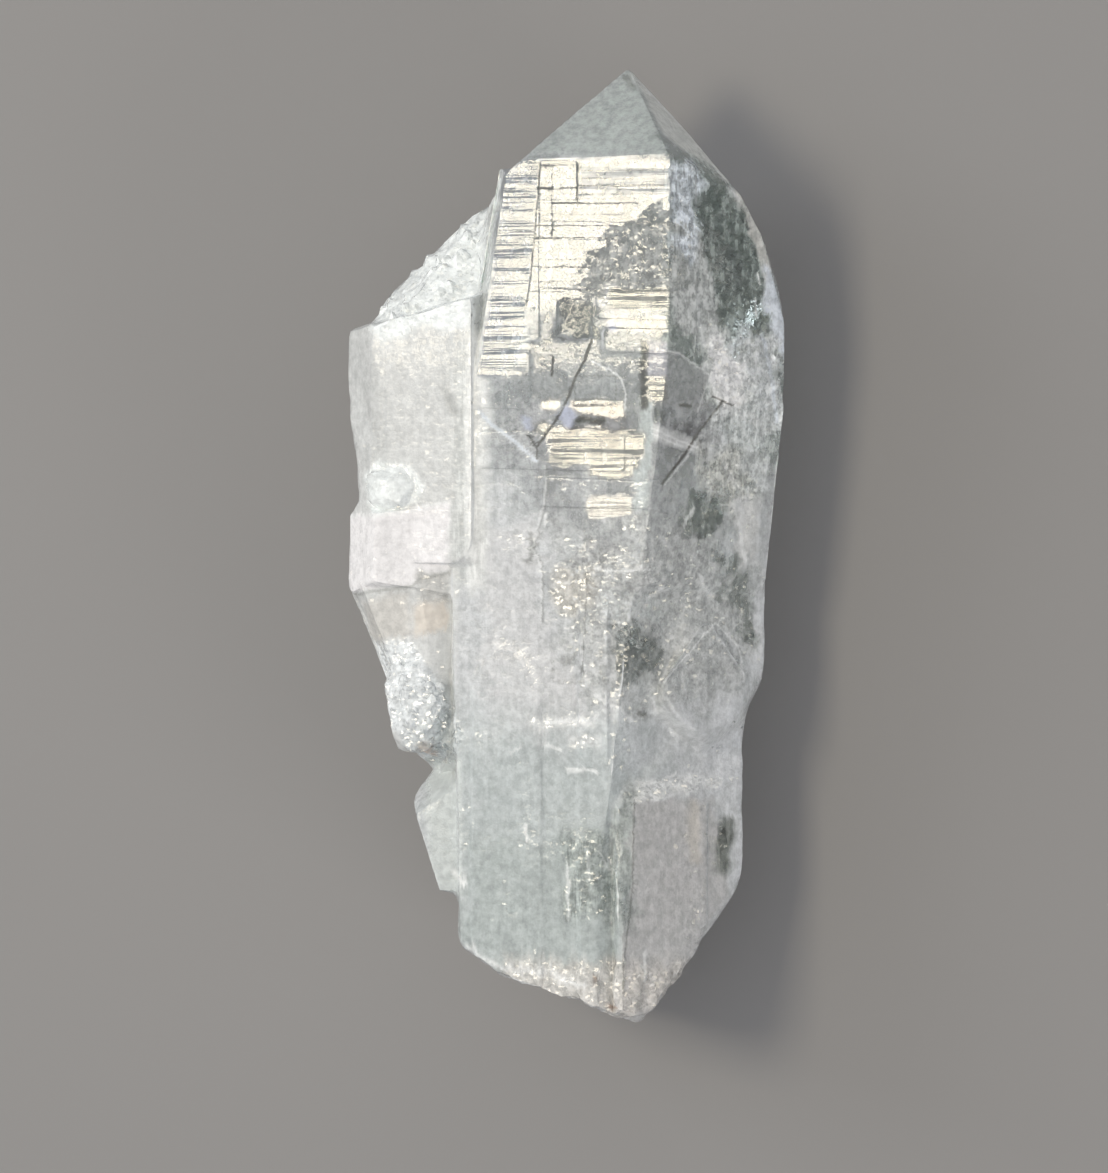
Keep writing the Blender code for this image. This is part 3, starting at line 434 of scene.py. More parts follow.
# Each row: a path, its width, its share, and the finish along it.
PATHS = (
    (((1.3, 46.6), (1.9, 45.5)), 0.6, 0.5, FAINT_PAINTED_SHADE),
    (((3.0, 45.9), (8.6, 39.6), (12.6, 34.2)), 0.3, 0.4, PAINTED_HIGHLIGHT),
    (((-26.4, -5.2), (-23.0, -4.7), (-20.1, -4.3), (-19.4, -3.6), (-16.4, -2.9)), 0.25, 0.25, FAINT_PAINTED_SHADE),
    (((-26.4, 2.9), (-23.0, 3.0), (-16.4, 4.1)), 0.25, 0.6, PAINTED_HIGHLIGHT),
    (((-7.5, 38.1), (-3.6, 38.2)), 0.18, 0.81, PAINTED_HIGHLIGHT),
    (((-7.5, 37.4), (-3.6, 37.5), (-3.6, 33.7), (-6.1, 33.7)), 0.12, 0.63, PAINTED_SHADE_LINE),
    (((-7.3, 37.8), (-7.5, 34), (-7.9, 30.2), (-8.2, 27), (-8.6, 23.6)), 0.13, 0.67, PAINTED_SHADE_LINE),
    (((-6.1, 37.4), (-6.1, 30.3), (-7.9, 30.2)), 0.12, 0.58, PAINTED_SHADE_LINE),
    (((-7.5, 35.2), (-6.1, 35.15)), 0.30, 0.72, PAINTED_SHADE_LINE),
    (((-6.1, 35.1), (-3.6, 35.2)), 0.14, 0.72, PAINTED_SHADE_LINE),
    (((-3.6, 36.9), (4.3, 36.8)), 0.12, 0.53, FAINT_PAINTED_SHADE),
    (((-3.4, 36.1), (3.4, 36.0)), 0.12, 0.45, FAINT_PAINTED_SHADE),
    (((-3.2, 34.6), (4.0, 34.5)), 0.12, 0.45, FAINT_PAINTED_SHADE),
    (((-3.5, 34.15), (3.4, 34.1)), 0.12, 0.45, FAINT_PAINTED_SHADE),
    (((-6.1, 33.7), (2.4, 33.6)), 0.13, 0.67, PAINTED_SHADE_LINE),
    (((-7.8, 31.5), (0.7, 31.4)), 0.12, 0.58, PAINTED_SHADE_LINE),
    (((-3.5, 35.4), (4.8, 35.3)), 0.12, 0.66, PAINTED_SHADE_LINE),
    (((-7.8, 32.6), (1.0, 32.5)), 0.12, 0.44, FAINT_PAINTED_SHADE),
    (((-7.8, 30.3), (-0.4, 30.2)), 0.12, 0.55, PAINTED_SHADE_LINE),
    (((-8.2, 28.2), (-2.4, 28.1)), 0.12, 0.44, FAINT_PAINTED_SHADE),
    (((-8.3, 25.0), (-5.0, 24.9)), 0.12, 0.55, FAINT_PAINTED_SHADE),
    (((-6.0, 29.2), (-1.2, 29.1)), 0.12, 0.32, FAINT_PAINTED_SHADE),
    (((-8.0, 27.4), (-2.8, 27.3)), 0.13, 0.53, PAINTED_SHADE_LINE),
    (((-8.0, 26.0), (-3.8, 25.9)), 0.12, 0.45, FAINT_PAINTED_SHADE),
    (((-2.2, 20.0), (-2.8, 18.2), (-3.8, 16.4), (-4.4, 14.6), (-5.3, 12.8), (-7.3, 9.9)), 0.23, 0.77, PAINTED_SHADE_LINE),
    (((-6.0, 18.5), (-6.1, 16.6)), 0.16, 0.72, PAINTED_SHADE_LINE),
    (((-2.3, 18.1), (-0.5, 17.2), (0.7, 16.3), (1.2, 14.9), (1.1, 13.2)), 0.16, 0.72, PAINTED_HIGHLIGHT),
    (((-3.8, 16.6), (0.2, 16.5), (0.2, 14.2), (-3.8, 14.3), (-3.8, 16.6)), 0.10, 0.45, FAINT_PAINTED_SHADE),
    (((-8.5, 10.7), (-7.6, 9.5), (-7.6, 8.3)), 0.16, 0.72, PAINTED_SHADE_LINE),
    (((-6.8, 10.7), (-7.6, 9.5)), 0.14, 0.72, PAINTED_SHADE_LINE),
    (((-13.4, 13.2), (-12.2, 11.8), (-10.6, 10.7), (-9.0, 9.4), (-7.7, 8.1)), 0.40, 0.72, PAINTED_BLUE_HIGHLIGHT),
    (((4.8, 5.9), (6.6, 8.2), (8.4, 10.9), (10.9, 14.2)), 0.19, 0.77, PAINTED_SHADE_LINE),
    (((5.1, 5.8), (6.9, 8.1), (8.7, 10.7)), 0.14, 0.54, PAINTED_HIGHLIGHT),
    (((9.9, 14.6), (11.9, 13.7)), 0.13, 0.63, PAINTED_SHADE_LINE),
    (((6.6, 32.9), (8.6, 30.9)), 0.18, 0.81, PAINTED_BLUE_HIGHLIGHT),
    (((7.2, 33.3), (8.9, 31.5)), 0.14, 0.72, PAINTED_BLUE_HIGHLIGHT),
    (((6.4, 31.6), (7.6, 30.5)), 0.14, 0.72, PAINTED_BLUE_HIGHLIGHT),
    (((14.4, 26.9), (14.7, 25.8)), 0.22, 0.81, PAINTED_HIGHLIGHT),
    (((14.2, 24.4), (14.4, 22.6)), 0.20, 0.81, PAINTED_HIGHLIGHT),
    (((6.6, 13.6), (7.6, 13.5)), 0.29, 0.72, PAINTED_SHADE_LINE),
    (((-6.1, -11.9), (-3.0, -11.9), (-3.0, -13.7), (-6.1, -13.7), (-6.1, -11.9)), 0.12, 0.22, FAINT_PAINTED_SHADE),
    (((-8.2, 0.8), (-8.0, -0.6), (-8.5, -1.9)), 0.4, 0.4, FAINT_PAINTED_SHADE),
    (((-6.8, 7.6), (-6.9, 4.4), (-7.6, 1.4), (-8.1, -0.5), (-7.2, -2.4), (-7.2, -7.9)), 0.2, 0.35, PAINTED_HIGHLIGHT),
    (((-6.6, 7.6), (-6.7, 4.4), (-7.4, 1.4), (-7.9, -0.5), (-7.0, -2.4), (-7.0, -7.9)), 0.16, 0.25, FAINT_PAINTED_SHADE),
    (((-2.0, -2.5), (0.4, -2.8), (3.9, -2.7)), 0.2, 0.7, PAINTED_HIGHLIGHT),
    (((-2.8, -1.6), (-2.7, -5.0), (-2.9, -9.0)), 0.18, 0.25, FAINT_PAINTED_SHADE),
    (((4.6, 19.1), (6.5, 18.7), (9.6, 16.6), (8.3, 13.0)), 0.16, 0.6, PAINTED_HIGHLIGHT),
    (((3.7, 11.4), (8.6, 9.2)), 0.16, 0.6, PAINTED_HIGHLIGHT),
    (((3.7, 10.8), (8.6, 8.8)), 0.14, 0.6, PAINTED_HIGHLIGHT),
    (((-3.0, -9.6), (-3.0, -12.9)), 0.14, 0.3, FAINT_PAINTED_SHADE),
    (((0.4, -10.1), (0.4, -13.8)), 0.14, 0.4, FAINT_PAINTED_SHADE),
    (((2.5, -16.9), (3.3, -17.0)), 0.4, 0.6, FAINT_PAINTED_SHADE),
    (((5.0, -13.7), (7.4, -11.0), (10.2, -7.9), (12.5, -10.2), (13.2, -13.7)), 0.16, 0.63, PAINTED_HIGHLIGHT),
    (((-1.3, -30.7), (0.0, -32.6), (0.4, -35), (0.4, -37.0)), 0.17, 0.5, PAINTED_HIGHLIGHT),
    (((-4.6, -31.6), (-4.5, -37.4)), 0.25, 0.5, PAINTED_HIGHLIGHT),
    (((-2.6, -30.6), (-2.5, -33.4)), 0.2, 0.45, PAINTED_HIGHLIGHT),
    (((0.9, -38.6), (1.0, -44.8)), 0.14, 0.45, FAINT_PAINTED_SHADE),
    (((2.1, -25.4), (1.9, -34.0), (1.2, -41.0)), 0.17, 0.4, FAINT_PAINTED_SHADE),
    (((-0.4, -45.9), (-0.1, -46.0)), 0.36, 0.72, {"tint": RUST, "haze": 0.7}),
    (((-1.9, -43.1), (-1.7, -43.2)), 0.32, 0.72, {"tint": RUST, "haze": 0.7}),
    (((-5.8, -17.6), (-2.6, -17.5)), 0.3, 0.8, PAINTED_HIGHLIGHT),
    (((-1.9, -15.0), (0.6, -16.4), (1.9, -17.6)), 0.3, 0.7, PAINTED_HIGHLIGHT),
    (((-7.0, -19.8), (-5.2, -20.6)), 0.25, 0.6, PAINTED_HIGHLIGHT),
    (((-4.6, -22.3), (-1.8, -22.5)), 0.3, 0.7, PAINTED_HIGHLIGHT),
    (((-8.7, -28.0), (-8.6, -29.3)), 0.3, 0.8, PAINTED_HIGHLIGHT),
    (((-15.8, -32.9), (-14.9, -33.8)), 0.5, 0.8, PAINTED_HIGHLIGHT),
    (((-14.6, -40.8), (-11.0, -42.3), (-6.4, -42.6), (-3.0, -43.9)), 0.6, 0.7, PAINTED_HIGHLIGHT),
    (((3.2, -40.6), (3.1, -43.4)), 0.25, 0.6, PAINTED_HIGHLIGHT),
    (((-10.4, -21.0), (-9.0, -20.2)), 0.2, 0.5, PAINTED_HIGHLIGHT),
    (((5.2, -23.4), (6.2, -23.0)), 0.4, 0.8, PAINTED_HIGHLIGHT),
    (((-0.6, -7.8), (0.6, -7.9)), 0.25, 0.6, PAINTED_HIGHLIGHT),
    (((8.7, 20.2), (10.2, 19.4), (11.3, 17.4), (12.2, 15.2)), 0.9, 0.5, PAINTED_HIGHLIGHT),
    (((10.2, 12.8), (12.6, 13.0), (14.6, 12.0)), 0.7, 0.4, PAINTED_HIGHLIGHT),
    (((11.0, 8.2), (12.4, 5.4), (13.0, 2.2)), 0.5, 0.4, PAINTED_HIGHLIGHT),
    (((14.9, 20.8), (15.9, 16.6), (16.4, 12.2)), 0.4, 0.6, PAINTED_BLUE_HIGHLIGHT),
    (((3.4, -5.6), (5.0, -4.4)), 0.25, 0.6, PAINTED_HIGHLIGHT),
    (((8.6, -3.0), (9.6, -5.0)), 0.3, 0.6, PAINTED_HIGHLIGHT),
    (((7.0, 1.8), (8.0, 3.4)), 0.3, 0.6, PAINTED_HIGHLIGHT),
    (((12.6, 2.0), (13.2, -1.8)), 0.4, 0.7, PAINTED_HIGHLIGHT),
    (((-13.6, 8.4), (-13.6, 8.0)), 0.36, 0.81, PAINTED_HIGHLIGHT),
    (((-6.8, 2.8), (-6.8, 1.9)), 0.29, 0.81, PAINTED_HIGHLIGHT),
)


def edge_limit(places):
    """How long an edge may stay, in metres: longest behind, shorter where the specimen is seen from the
    front, shorter still on the right face and in the mosaic window, and shortest along the paths."""
    x, y, z = to_seen(places).T
    limit = EDGE_BEHIND - EDGE_SAVED_IN_FRONT * smooth_step(-6.0, 3.0, z)
    window = (z > 6.0) & (x > -14.0) & (x < 6.2) & (y > 2.0) & (y < 39.0)
    limit[window] = np.minimum(limit[window], EDGE_IN_WINDOW)
    face = (z > 1.0) & (x > 5.4) & (y > -10.0) & (y < 31.0)
    limit[face] = np.minimum(limit[face], EDGE_ON_RIGHT_FACE)
    for path, width, _, _ in PATHS:
        near = (z > 1.0) & (path_distance(path, x, y) < width / 2.0 + 0.14)
        limit[near] = np.minimum(limit[near], max(EDGE_ON_PATH, 0.9 * width))
    return limit / MM


def finishes(points, normals, tints):
    """The finish at each vertex: haze, tint, roughness and the shares of mirror, growth lines, crust,
    streaks, mottle and lean away from the front lamp. A base that changes down the specimen is blended with
    each region and each path in turn."""
    seen = to_seen(points)
    x, y, z = seen.T
    front = smooth_step(-0.15, 0.2, (normals @ SEEN_AXES.T)[:, 2])
    clouds = layered_noise(seen * (1.0, 0.7, 1.0), 7.0, 3)
    wisps = layered_noise(seen * (1.0, 0.5, 1.0), 2.2, 13)
    lower = smooth_step(15.0, -6.0, y)
    steep = 1.0 - smooth_step(0.25, 0.45, np.abs(normals[:, 1]))
    finish = {
        "haze": 0.30 + 0.28 * lower + (0.16 - 0.03 * lower) * clouds + (0.14 - 0.03 * lower) * wisps,
        "rough": 0.08 + 0.12 * lower + 0.03 * clouds,
        "mirror": np.zeros(len(x)),
        "striae": 0.12 * steep,
        "crust": 0.03 + 0.32 * smooth_step(0.3, 1.1, wisps + 0.25 * lower),
        "streaks": 0.1 * steep,
        "mottle": 0.10 + 0.06 * lower,
        "lean": 0.15 * smooth_step(19.0, 16.0, y) * smooth_step(0.8, 0.95, normals[:, 2]),
        "tint": tints["body"] + 0.04 * clouds[:, None],
    }
    ragged = np.stack([layered_noise(seen, 2.4, 51), layered_noise(seen, 2.4, 61)])
    ragged += 0.5 * np.stack([soft_noise(seen, 0.7, 71), soft_noise(seen, 0.7, 81)])
    ragged[0] += 0.7 * soft_noise(seen * (0.25, 1.0, 0.25), 0.8, 91)
    # The regions and paths also paint light into the tint: highlights along edges and in glints, shade along
    # steps and creases, and the front lamp's cream reflection on mirror patches.
    for outline, soft, ragged_by, share, change in REGIONS:
        wander = 0.6 * ragged_by * ragged
        blend(finish, share * front * within(outline, x + wander[0], y + wander[1], soft), change, tints)
    wander = 0.05 * ragged
    for path, width, share, change in PATHS:
        distance = path_distance(path, x + wander[0], y + wander[1])
        beside = smooth_step(0.3 * width, 0.75 * width, distance)
        blend(finish, share * front * (1.0 - beside), change, tints)
    finish["mirror"] *= smooth_step(0.80, 0.93, normals[:, 2])
    return finish


def blend(finish, share, change, tints):
    """Moves the finish towards each value of a change, by its share at each vertex. A tint may be a name."""
    for name, value in change.items():
        part = share[:, None] if name == "tint" else share
        value = tints[value] if isinstance(value, str) else np.asarray(value)
        finish[name] += part * (value - finish[name])


def eased(points, corners, share):
    """Rounds edges off: each round moves a vertex towards the mean of its neighbours by its share."""
    ends = np.concatenate([corners, np.roll(corners, -1, axis=1)], axis=0).reshape(-1)
    others = np.concatenate([np.roll(corners, -1, axis=1), corners], axis=0).reshape(-1)
    count = np.bincount(ends, minlength=len(points))[:, None]
    for _ in range(EASE_ROUNDS):
        total = np.stack([np.bincount(ends, points[others, n], len(points)) for n in range(3)], axis=1)
        points = points + share[:, None] * (total / count - points)
    return points


# Each row: an outline where creases are eased more than elsewhere, how soft its edge is and how much more.
EASED = (
    (block(-9.0, 22.0, 3.0, -4.0), 1.0, 0.2),
    (block(-15.4, 20.5, -13.2, -3.0), 0.8, 0.45),
    (block(-9.2, -9.0, -5.0, -42.0), 1.2, 0.9),
)


def relief(points, finish):
    """How far each vertex moves along its normal, in millimetres: waves on the flat faces, crusts of noise on
    the etched, frosted and druzy ones, and steps that follow the growth lines down the lower body."""
    seen = to_seen(points)
    grain = layered_noise(seen, 1.1, 21)
    swell = layered_noise(seen * (1.0, 0.55, 1.0), 7.0, 31)
    steps = layered_noise(seen * (0.35, 1.0, 0.35), 2.6, 41)
    calm = 1.0 - finish["mirror"]
    lower = smooth_step(15.0, -6.0, seen[:, 1])
    height = 0.08 * swell + 0.07 * lower * np.round(steps * 3.0) / 3.0
    height += (0.10 * finish["crust"] + 0.25 * smooth_step(-38.0, -44.0, seen[:, 1]) + 0.015) * grain
    return calm * height - SINK


def dressed_surface(tints):
    """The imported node's surface, split finely, eased and given its relief, with its finishes. The inner
    cracks are joined to it, clear and smooth."""
    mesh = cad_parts[NODE].data
    mesh.calc_loop_triangles()
    corners = np.empty(len(mesh.loop_triangles) * 3, np.int32)
    mesh.loop_triangles.foreach_get("vertices", corners)
    points, corners = merged(node_points(), corners.reshape(-1, 3).astype(np.int64))
    low, high = points.min(axis=0), points.max(axis=0)
    for _ in range(SPLIT_ROUNDS):
        points, corners = halved(points, corners, edge_limit)
    finish = finishes(points, vertex_normals(points, corners), tints)
    x, y, _ = to_seen(points).T
    ease = EASE_EVERYWHERE + 0.45 * (
        smooth_step(6.0, -6.0, y) * smooth_step(-16.5, -14.5, x) * smooth_step(-44.0, -38.0, y)
    )
    for outline, soft, share in EASED:
        ease += share * within(outline, x, y, soft)
    points = eased(points, corners, np.minimum(ease, EASE_MOST) * (1.0 - finish["mirror"]))
    points = points + vertex_normals(points, corners) * relief(points, finish)[:, None] / MM
    points = np.clip(points, low, high)
    finish["lean"] *= 1.0 - finish["mirror"]
    for number, row in enumerate(FEATHERS):
        more, faces = feather(number, *row)
        corners = np.concatenate([corners, faces + len(points)])
        points = np.concatenate([points, more])
    for name, values in finish.items():
        inner = np.zeros((len(points) - len(values), *values.shape[1:]))
        inner += {"tint": 1.0, "rough": 0.03}.get(name, 0.0)
        finish[name] = np.concatenate([values, inner])
    return points, corners, finish


# Inner cracks, which throw light back as bright sheets. Each row: the middle of a crack in the seen frame,
# its radius and which way it faces.
FEATHERS = (
    ((9.0, 28.5, 5.0), 3.6, (0.7, 0.2, 0.7)), ((11.0, 21.0, 3.0), 3.2, (-0.5, 0.5, 0.7)),
    ((8.0, 17.0, 5.0), 3.4, (0.8, -0.3, 0.5)), ((11.5, 11.0, 3.0), 3.0, (0.2, 0.8, 0.6)),
    ((8.6, 6.0, 5.0), 3.6, (0.8, 0.5, 0.4)), ((10.0, -1.0, 3.5), 3.0, (-0.6, 0.4, 0.7)),
    ((-2.0, 17.0, 8.0), 3.4, (0.3, 0.8, 0.6)), ((-5.0, 12.0, 7.0), 3.0, (-0.7, 0.4, 0.6)),
    ((1.0, 29.0, 6.0), 4.0, (0.6, 0.7, 0.4)), ((-6.0, -1.0, 7.0), 3.6, (-0.5, 0.7, 0.5)),
    ((1.0, -7.0, 7.5), 4.0, (0.7, 0.5, 0.6)), ((-9.0, -14.0, 6.5), 3.4, (0.3, 0.8, 0.5)),
    ((-2.0, -20.0, 7.0), 4.2, (-0.6, 0.6, 0.5)), ((6.5, -15.0, 5.5), 3.6, (0.8, 0.2, 0.6)),
    ((-6.0, -29.0, 7.0), 3.8, (0.6, 0.6, 0.5)), ((1.5, -34.0, 6.0), 3.4, (-0.7, 0.5, 0.5)),
    ((-10.0, -36.0, 5.0), 2.8, (0.4, 0.8, 0.5)), ((6.0, -33.0, 4.0), 3.0, (0.7, -0.4, 0.6)),
    ((-20.0, 12.0, 3.0), 3.4, (-0.6, 0.3, 0.7)),
)


def feather(number, middle, radius, facing, rings=7, spokes=26):
    """One crack as a closed lens of air. Ring r and spoke a stand at radius r times a wavy rim, a wave of
    noise bends it, and its two skins are 0.04 (1 - r²) + 0.004 mm apart. Its faces point into the lens."""
    axis = np.asarray(facing) / np.linalg.norm(facing)
    side = np.cross(axis, (0.0, 0.0, 1.0))
    side /= np.linalg.norm(side)
    other = np.cross(axis, side)
    r = np.repeat(np.arange(1, rings + 1) / rings, spokes)
    a = np.tile(np.arange(spokes) / spokes * math.tau, rings)
    rim = 1.0 + 0.22 * np.sin(2.0 * a + number) + 0.12 * np.sin(5.0 * a + 2.0 * number)
    flat = np.stack([radius * r * rim * np.cos(a), 0.7 * radius * r * rim * np.sin(a)])
    flat = np.concatenate([np.zeros((2, 1)), flat], axis=1)
    r = np.concatenate([[0.0], r])
    sheet = np.asarray(middle) + flat[0][:, None] * side + flat[1][:, None] * other
    bend = 0.5 * layered_noise(sheet, 2.6, 90 + number)
    thick = 0.02 * (1.0 - r * r) + 0.002
    top = sheet + (bend + thick)[:, None] * axis
    bottom = sheet + (bend - thick)[:, None] * axis
    spin = np.arange(spokes)
    after = (spin + 1) % spokes
    skin = [np.stack([np.zeros(spokes, int), 1 + spin, 1 + after], axis=1)]
    for ring in range(rings - 1):
        near, far = 1 + ring * spokes, 1 + (ring + 1) * spokes
        skin.append(np.stack([near + spin, far + spin, far + after], axis=1))
        skin.append(np.stack([near + spin, far + after, near + after], axis=1))
    skin = np.concatenate(skin)
    rim_top = 1 + (rings - 1) * spokes
    rim_bottom = rim_top + len(top)
    wall = [np.stack([rim_top + spin, rim_bottom + spin, rim_bottom + after], axis=1)]
    wall.append(np.stack([rim_top + spin, rim_bottom + after, rim_top + after], axis=1))
    closed = np.concatenate([skin, (skin + len(top))[:, ::-1], *wall])
    points = to_rest(np.concatenate([top, bottom]))
    a, b, c = (points[closed[:, n]] for n in range(3))
    volume = np.einsum("ij,ij->i", a - points[0], np.cross(b - points[0], c - points[0])).sum()
    return points, closed[:, ::-1] if volume > 0.0 else closed


def new_piece(name, points, corners, material):
    """A mesh object at the origin with these vertices and triangles, riding on the root body."""
    mesh = bpy.data.meshes.new(name)
    mesh.vertices.add(len(points))
    mesh.vertices.foreach_set("co", points.astype(np.float32).ravel())
    mesh.loops.add(corners.size)
    mesh.loops.foreach_set("vertex_index", corners.astype(np.int32).ravel())
    mesh.polygons.add(len(corners))
    mesh.polygons.foreach_set("loop_start", np.arange(0, corners.size, 3, dtype=np.int32))
    mesh.update(calc_edges=True)
    mesh.validate()
    mesh.materials.append(material)
    piece = bpy.data.objects.new(name, mesh)
    bpy.context.scene.collection.objects.link(piece)
    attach(piece, "root")
    return piece


# Materials


class Wiring:
    """A shorthand for a material's nodes: each call adds one node, sets its inputs and returns it."""

    def __init__(self, material):
        self.tree = material.node_tree
        self.tree.nodes.clear()

    def add(self, kind, inputs=None, **settings):
        node = self.tree.nodes.new(kind)
        for name, value in settings.items():
            setattr(node, name, value)
        for name, value in (inputs or {}).items():
            if isinstance(value, bpy.types.NodeSocket):
                self.tree.links.new(value, node.inputs[name])
            else:
                node.inputs[name].default_value = value
        return node

    def math(self, operation, first, second=0.0, clamp=False):
        node = self.add("ShaderNodeMath", {0: first, 1: second}, operation=operation, use_clamp=clamp)
        return node.outputs[0]

    def times(self, first, second):
        return self.math("MULTIPLY", first, second)

    def plus(self, first, second, clamp=False):
        return self.math("ADD", first, second, clamp)

    def ramp(self, value, low, high, to_low=0.0, to_high=1.0):
        inputs = {"Value": value, "From Min": low, "From Max": high, "To Min": to_low, "To Max": to_high}
        return self.add("ShaderNodeMapRange", inputs, interpolation_type="SMOOTHSTEP").outputs["Result"]

    def mix(self, share, first, second):
        node = self.add("ShaderNodeMix", data_type="RGBA")
        for name, value in (("Factor", share), ("A", first), ("B", second)):
            socket = next(s for s in node.inputs if s.name == name and s.enabled)
            if isinstance(value, bpy.types.NodeSocket):
                self.tree.links.new(value, socket)
            else:
                socket.default_value = value
        return next(s for s in node.outputs if s.enabled)

    def mask(self, name):
        return self.add("ShaderNodeAttribute", attribute_name=name).outputs["Fac"]

    def noise(self, vector, scale, detail=3.0, rough=0.55):
        inputs = {"Vector": vector, "Scale": scale, "Detail": detail, "Roughness": rough}
        return self.add("ShaderNodeTexNoise", inputs).outputs["Fac"]

    def stretched(self, vector, scale):
        return self.add("ShaderNodeMapping", {"Vector": vector, "Scale": scale}).outputs["Vector"]

    def vector(self, operation, first, second=(0.0, 0.0, 0.0), scale=None):
        inputs = {0: first, 1: second}
        if scale is not None:
            inputs["Scale"] = scale
        return self.add("ShaderNodeVectorMath", inputs, operation=operation).outputs["Vector"]

    def bump(self, height, distance, under=None, strength=1.0):
        inputs = {"Height": height, "Distance": distance, "Strength": strength}
        if under is not None:
            inputs["Normal"] = under
        return self.add("ShaderNodeBump", inputs).outputs["Normal"]


def quartz_finish(look):
    """Clear quartz that turns milky, frosted or etched by region. Haze, streaks and mottled spots make it
    scatter light instead of passing it. Its normal is turned to the front on mirror patches and in the few
    cells that glint, by bands on growth lines, by small cells on crusts and away from the front lamp where it
    leans, but only from outside, so that light inside meets a plain surface."""
    material = bpy.data.materials.new("clear_to_milky_quartz")
    material.use_nodes = True
    wire = Wiring(material)
    source = wire.add("ShaderNodeTexCoord")
    mm = wire.stretched(source.outputs["Object"], (1000.0, 1000.0, 1000.0))
    outside = wire.math("SUBTRACT", 1.0, wire.add("ShaderNodeNewGeometry").outputs["Backfacing"])
    inputs = {"Vector": mm, "Scale": 1.1, "Detail": 3.0, "Roughness": 0.75}
    specks = wire.add("ShaderNodeTexNoise", inputs)
    specks_bend, specks = specks.outputs["Color"], specks.outputs["Fac"]

    streaks = wire.noise(wire.stretched(mm, (1.3, 0.16, 1.3)), 1.0, 3.0, 0.6)
    streaks = wire.ramp(streaks, 0.47, 0.63)
    streaks = wire.times(streaks, wire.mask("streaks"))
    haze = wire.plus(wire.mask("haze"), wire.times(streaks, 0.6))
    haze = wire.plus(haze, wire.ramp(specks, 0.3, 0.7, -0.10, 0.10))
    spots = wire.noise(wire.stretched(mm, (1.2, 0.95, 1.2)), 1.0, 2.0, 0.75)
    spots = wire.times(wire.ramp(spots, 0.38, 0.62, -1.0, 1.0), wire.mask("mottle"))
    haze = wire.plus(haze, wire.times(spots, 0.22))
    passing = wire.math("SUBTRACT", 1.0, wire.plus(haze, look.haze, True), True)
    # The tint holds the quartz's colour with painted highlights, painted shade and the lamp's painted
    # reflection.
    tint = wire.add("ShaderNodeAttribute", attribute_name="tint").outputs["Color"]
    tint = wire.vector("SCALE", tint, scale=wire.plus(1.0, wire.times(spots, 0.16)))

    # Growth lines: thin bands of noise across the crystal, which tip the normal along it.
    bands = wire.noise(wire.stretched(mm, (0.06, 3.4, 0.06)), 1.0, 3.0, 0.8)
    bands = wire.times(wire.times(wire.ramp(bands, 0.48, 0.58), wire.mask("striae")), outside)

    # Crusts: a random tilt for each bent cell. The few highest numbers make a cell glint.
    bent = wire.vector("ADD", mm, wire.vector("SCALE", specks_bend, scale=1.1))
    bent = wire.vector("FLOOR", wire.stretched(bent, (2.4, 4.6, 2.4)))
    cells = wire.add("ShaderNodeTexWhiteNoise", {"Vector": bent}).outputs["Color"]
    chance = wire.add("ShaderNodeSeparateXYZ", {"Vector": cells}).outputs["X"]
    crust = wire.times(wire.mask("crust"), outside)
    glint = wire.times(wire.ramp(wire.plus(chance, wire.times(crust, 0.10)), 1.008, 1.012), outside)
    cells = wire.vector("SUBTRACT", cells, (0.5, 0.5, 0.5))
    cells = wire.vector("SCALE", cells, scale=wire.times(crust, wire.math("SUBTRACT", 0.9, glint, True)))

    # The normal: its own, the mirror's and the glint's pull, then the lines, the lean and the crust's tilt.
    mirrored = wire.vector("SCALE", (0.0, 0.0, MIRROR_PULL), scale=wire.times(wire.mask("mirror"), outside))
    glinting = wire.vector("SCALE", (0.0, 1.0, MIRROR_PULL), scale=glint)
    normal = wire.vector("ADD", wire.vector("ADD", source.outputs["Normal"], mirrored), glinting)
    normal = wire.vector("NORMALIZE", normal)
    lean = wire.times(wire.mask("lean"), wire.math("SUBTRACT", outside, glint, True))
    lean = wire.math("SUBTRACT", wire.times(bands, 0.26), lean)
    along = wire.vector("SCALE", (0.0, 1.0, 0.0), scale=lean)
    normal = wire.vector("NORMALIZE", wire.vector("ADD", wire.vector("ADD", normal, along), cells))
    turning = wire.add(
        "ShaderNodeVectorTransform",
        {"Vector": normal},
        vector_type="NORMAL",
        convert_from="OBJECT",
        convert_to="WORLD",
    )
    calm = wire.math("SUBTRACT", 1.0, wire.plus(wire.mask("mirror"), glint, True))
    normal = wire.bump(specks, 0.00008, turning.outputs["Vector"], calm)

    shader = wire.add(
        "ShaderNodeBsdfPrincipled",
        {
            "Base Color": tint,
            "Roughness": wire.mask("rough"),
            "IOR": look.ior,
            "Transmission Weight": passing,
            "Normal": normal,
        },
    )
    inputs = {"Color": look.depth_colour, "Density": look.depth_density}
    depth = wire.add("ShaderNodeVolumeAbsorption", inputs)
    wire.add(
        "ShaderNodeOutputMaterial", {"Surface": shader.outputs["BSDF"], "Volume": depth.outputs["Volume"]}
    )
    return material


def floor_finish(stage):
    """A pale matt board with a faint unevenness."""
    material = bpy.data.materials.new("pale_board")
    material.use_nodes = True
    wire = Wiring(material)
    place = wire.add("ShaderNodeTexCoord").outputs["Object"]
    cloud = wire.noise(place, 9.0, 4.0)
    darker = [part * 0.94 for part in stage.floor_colour[:3]] + [1.0]
    colour = wire.mix(cloud, darker, list(stage.floor_colour))
    shader = wire.add("ShaderNodeBsdfPrincipled", {"Base Color": colour, "Roughness": 0.75})
    wire.add("ShaderNodeOutputMaterial", {"Surface": shader.outputs["BSDF"]})
    return material


# Settings


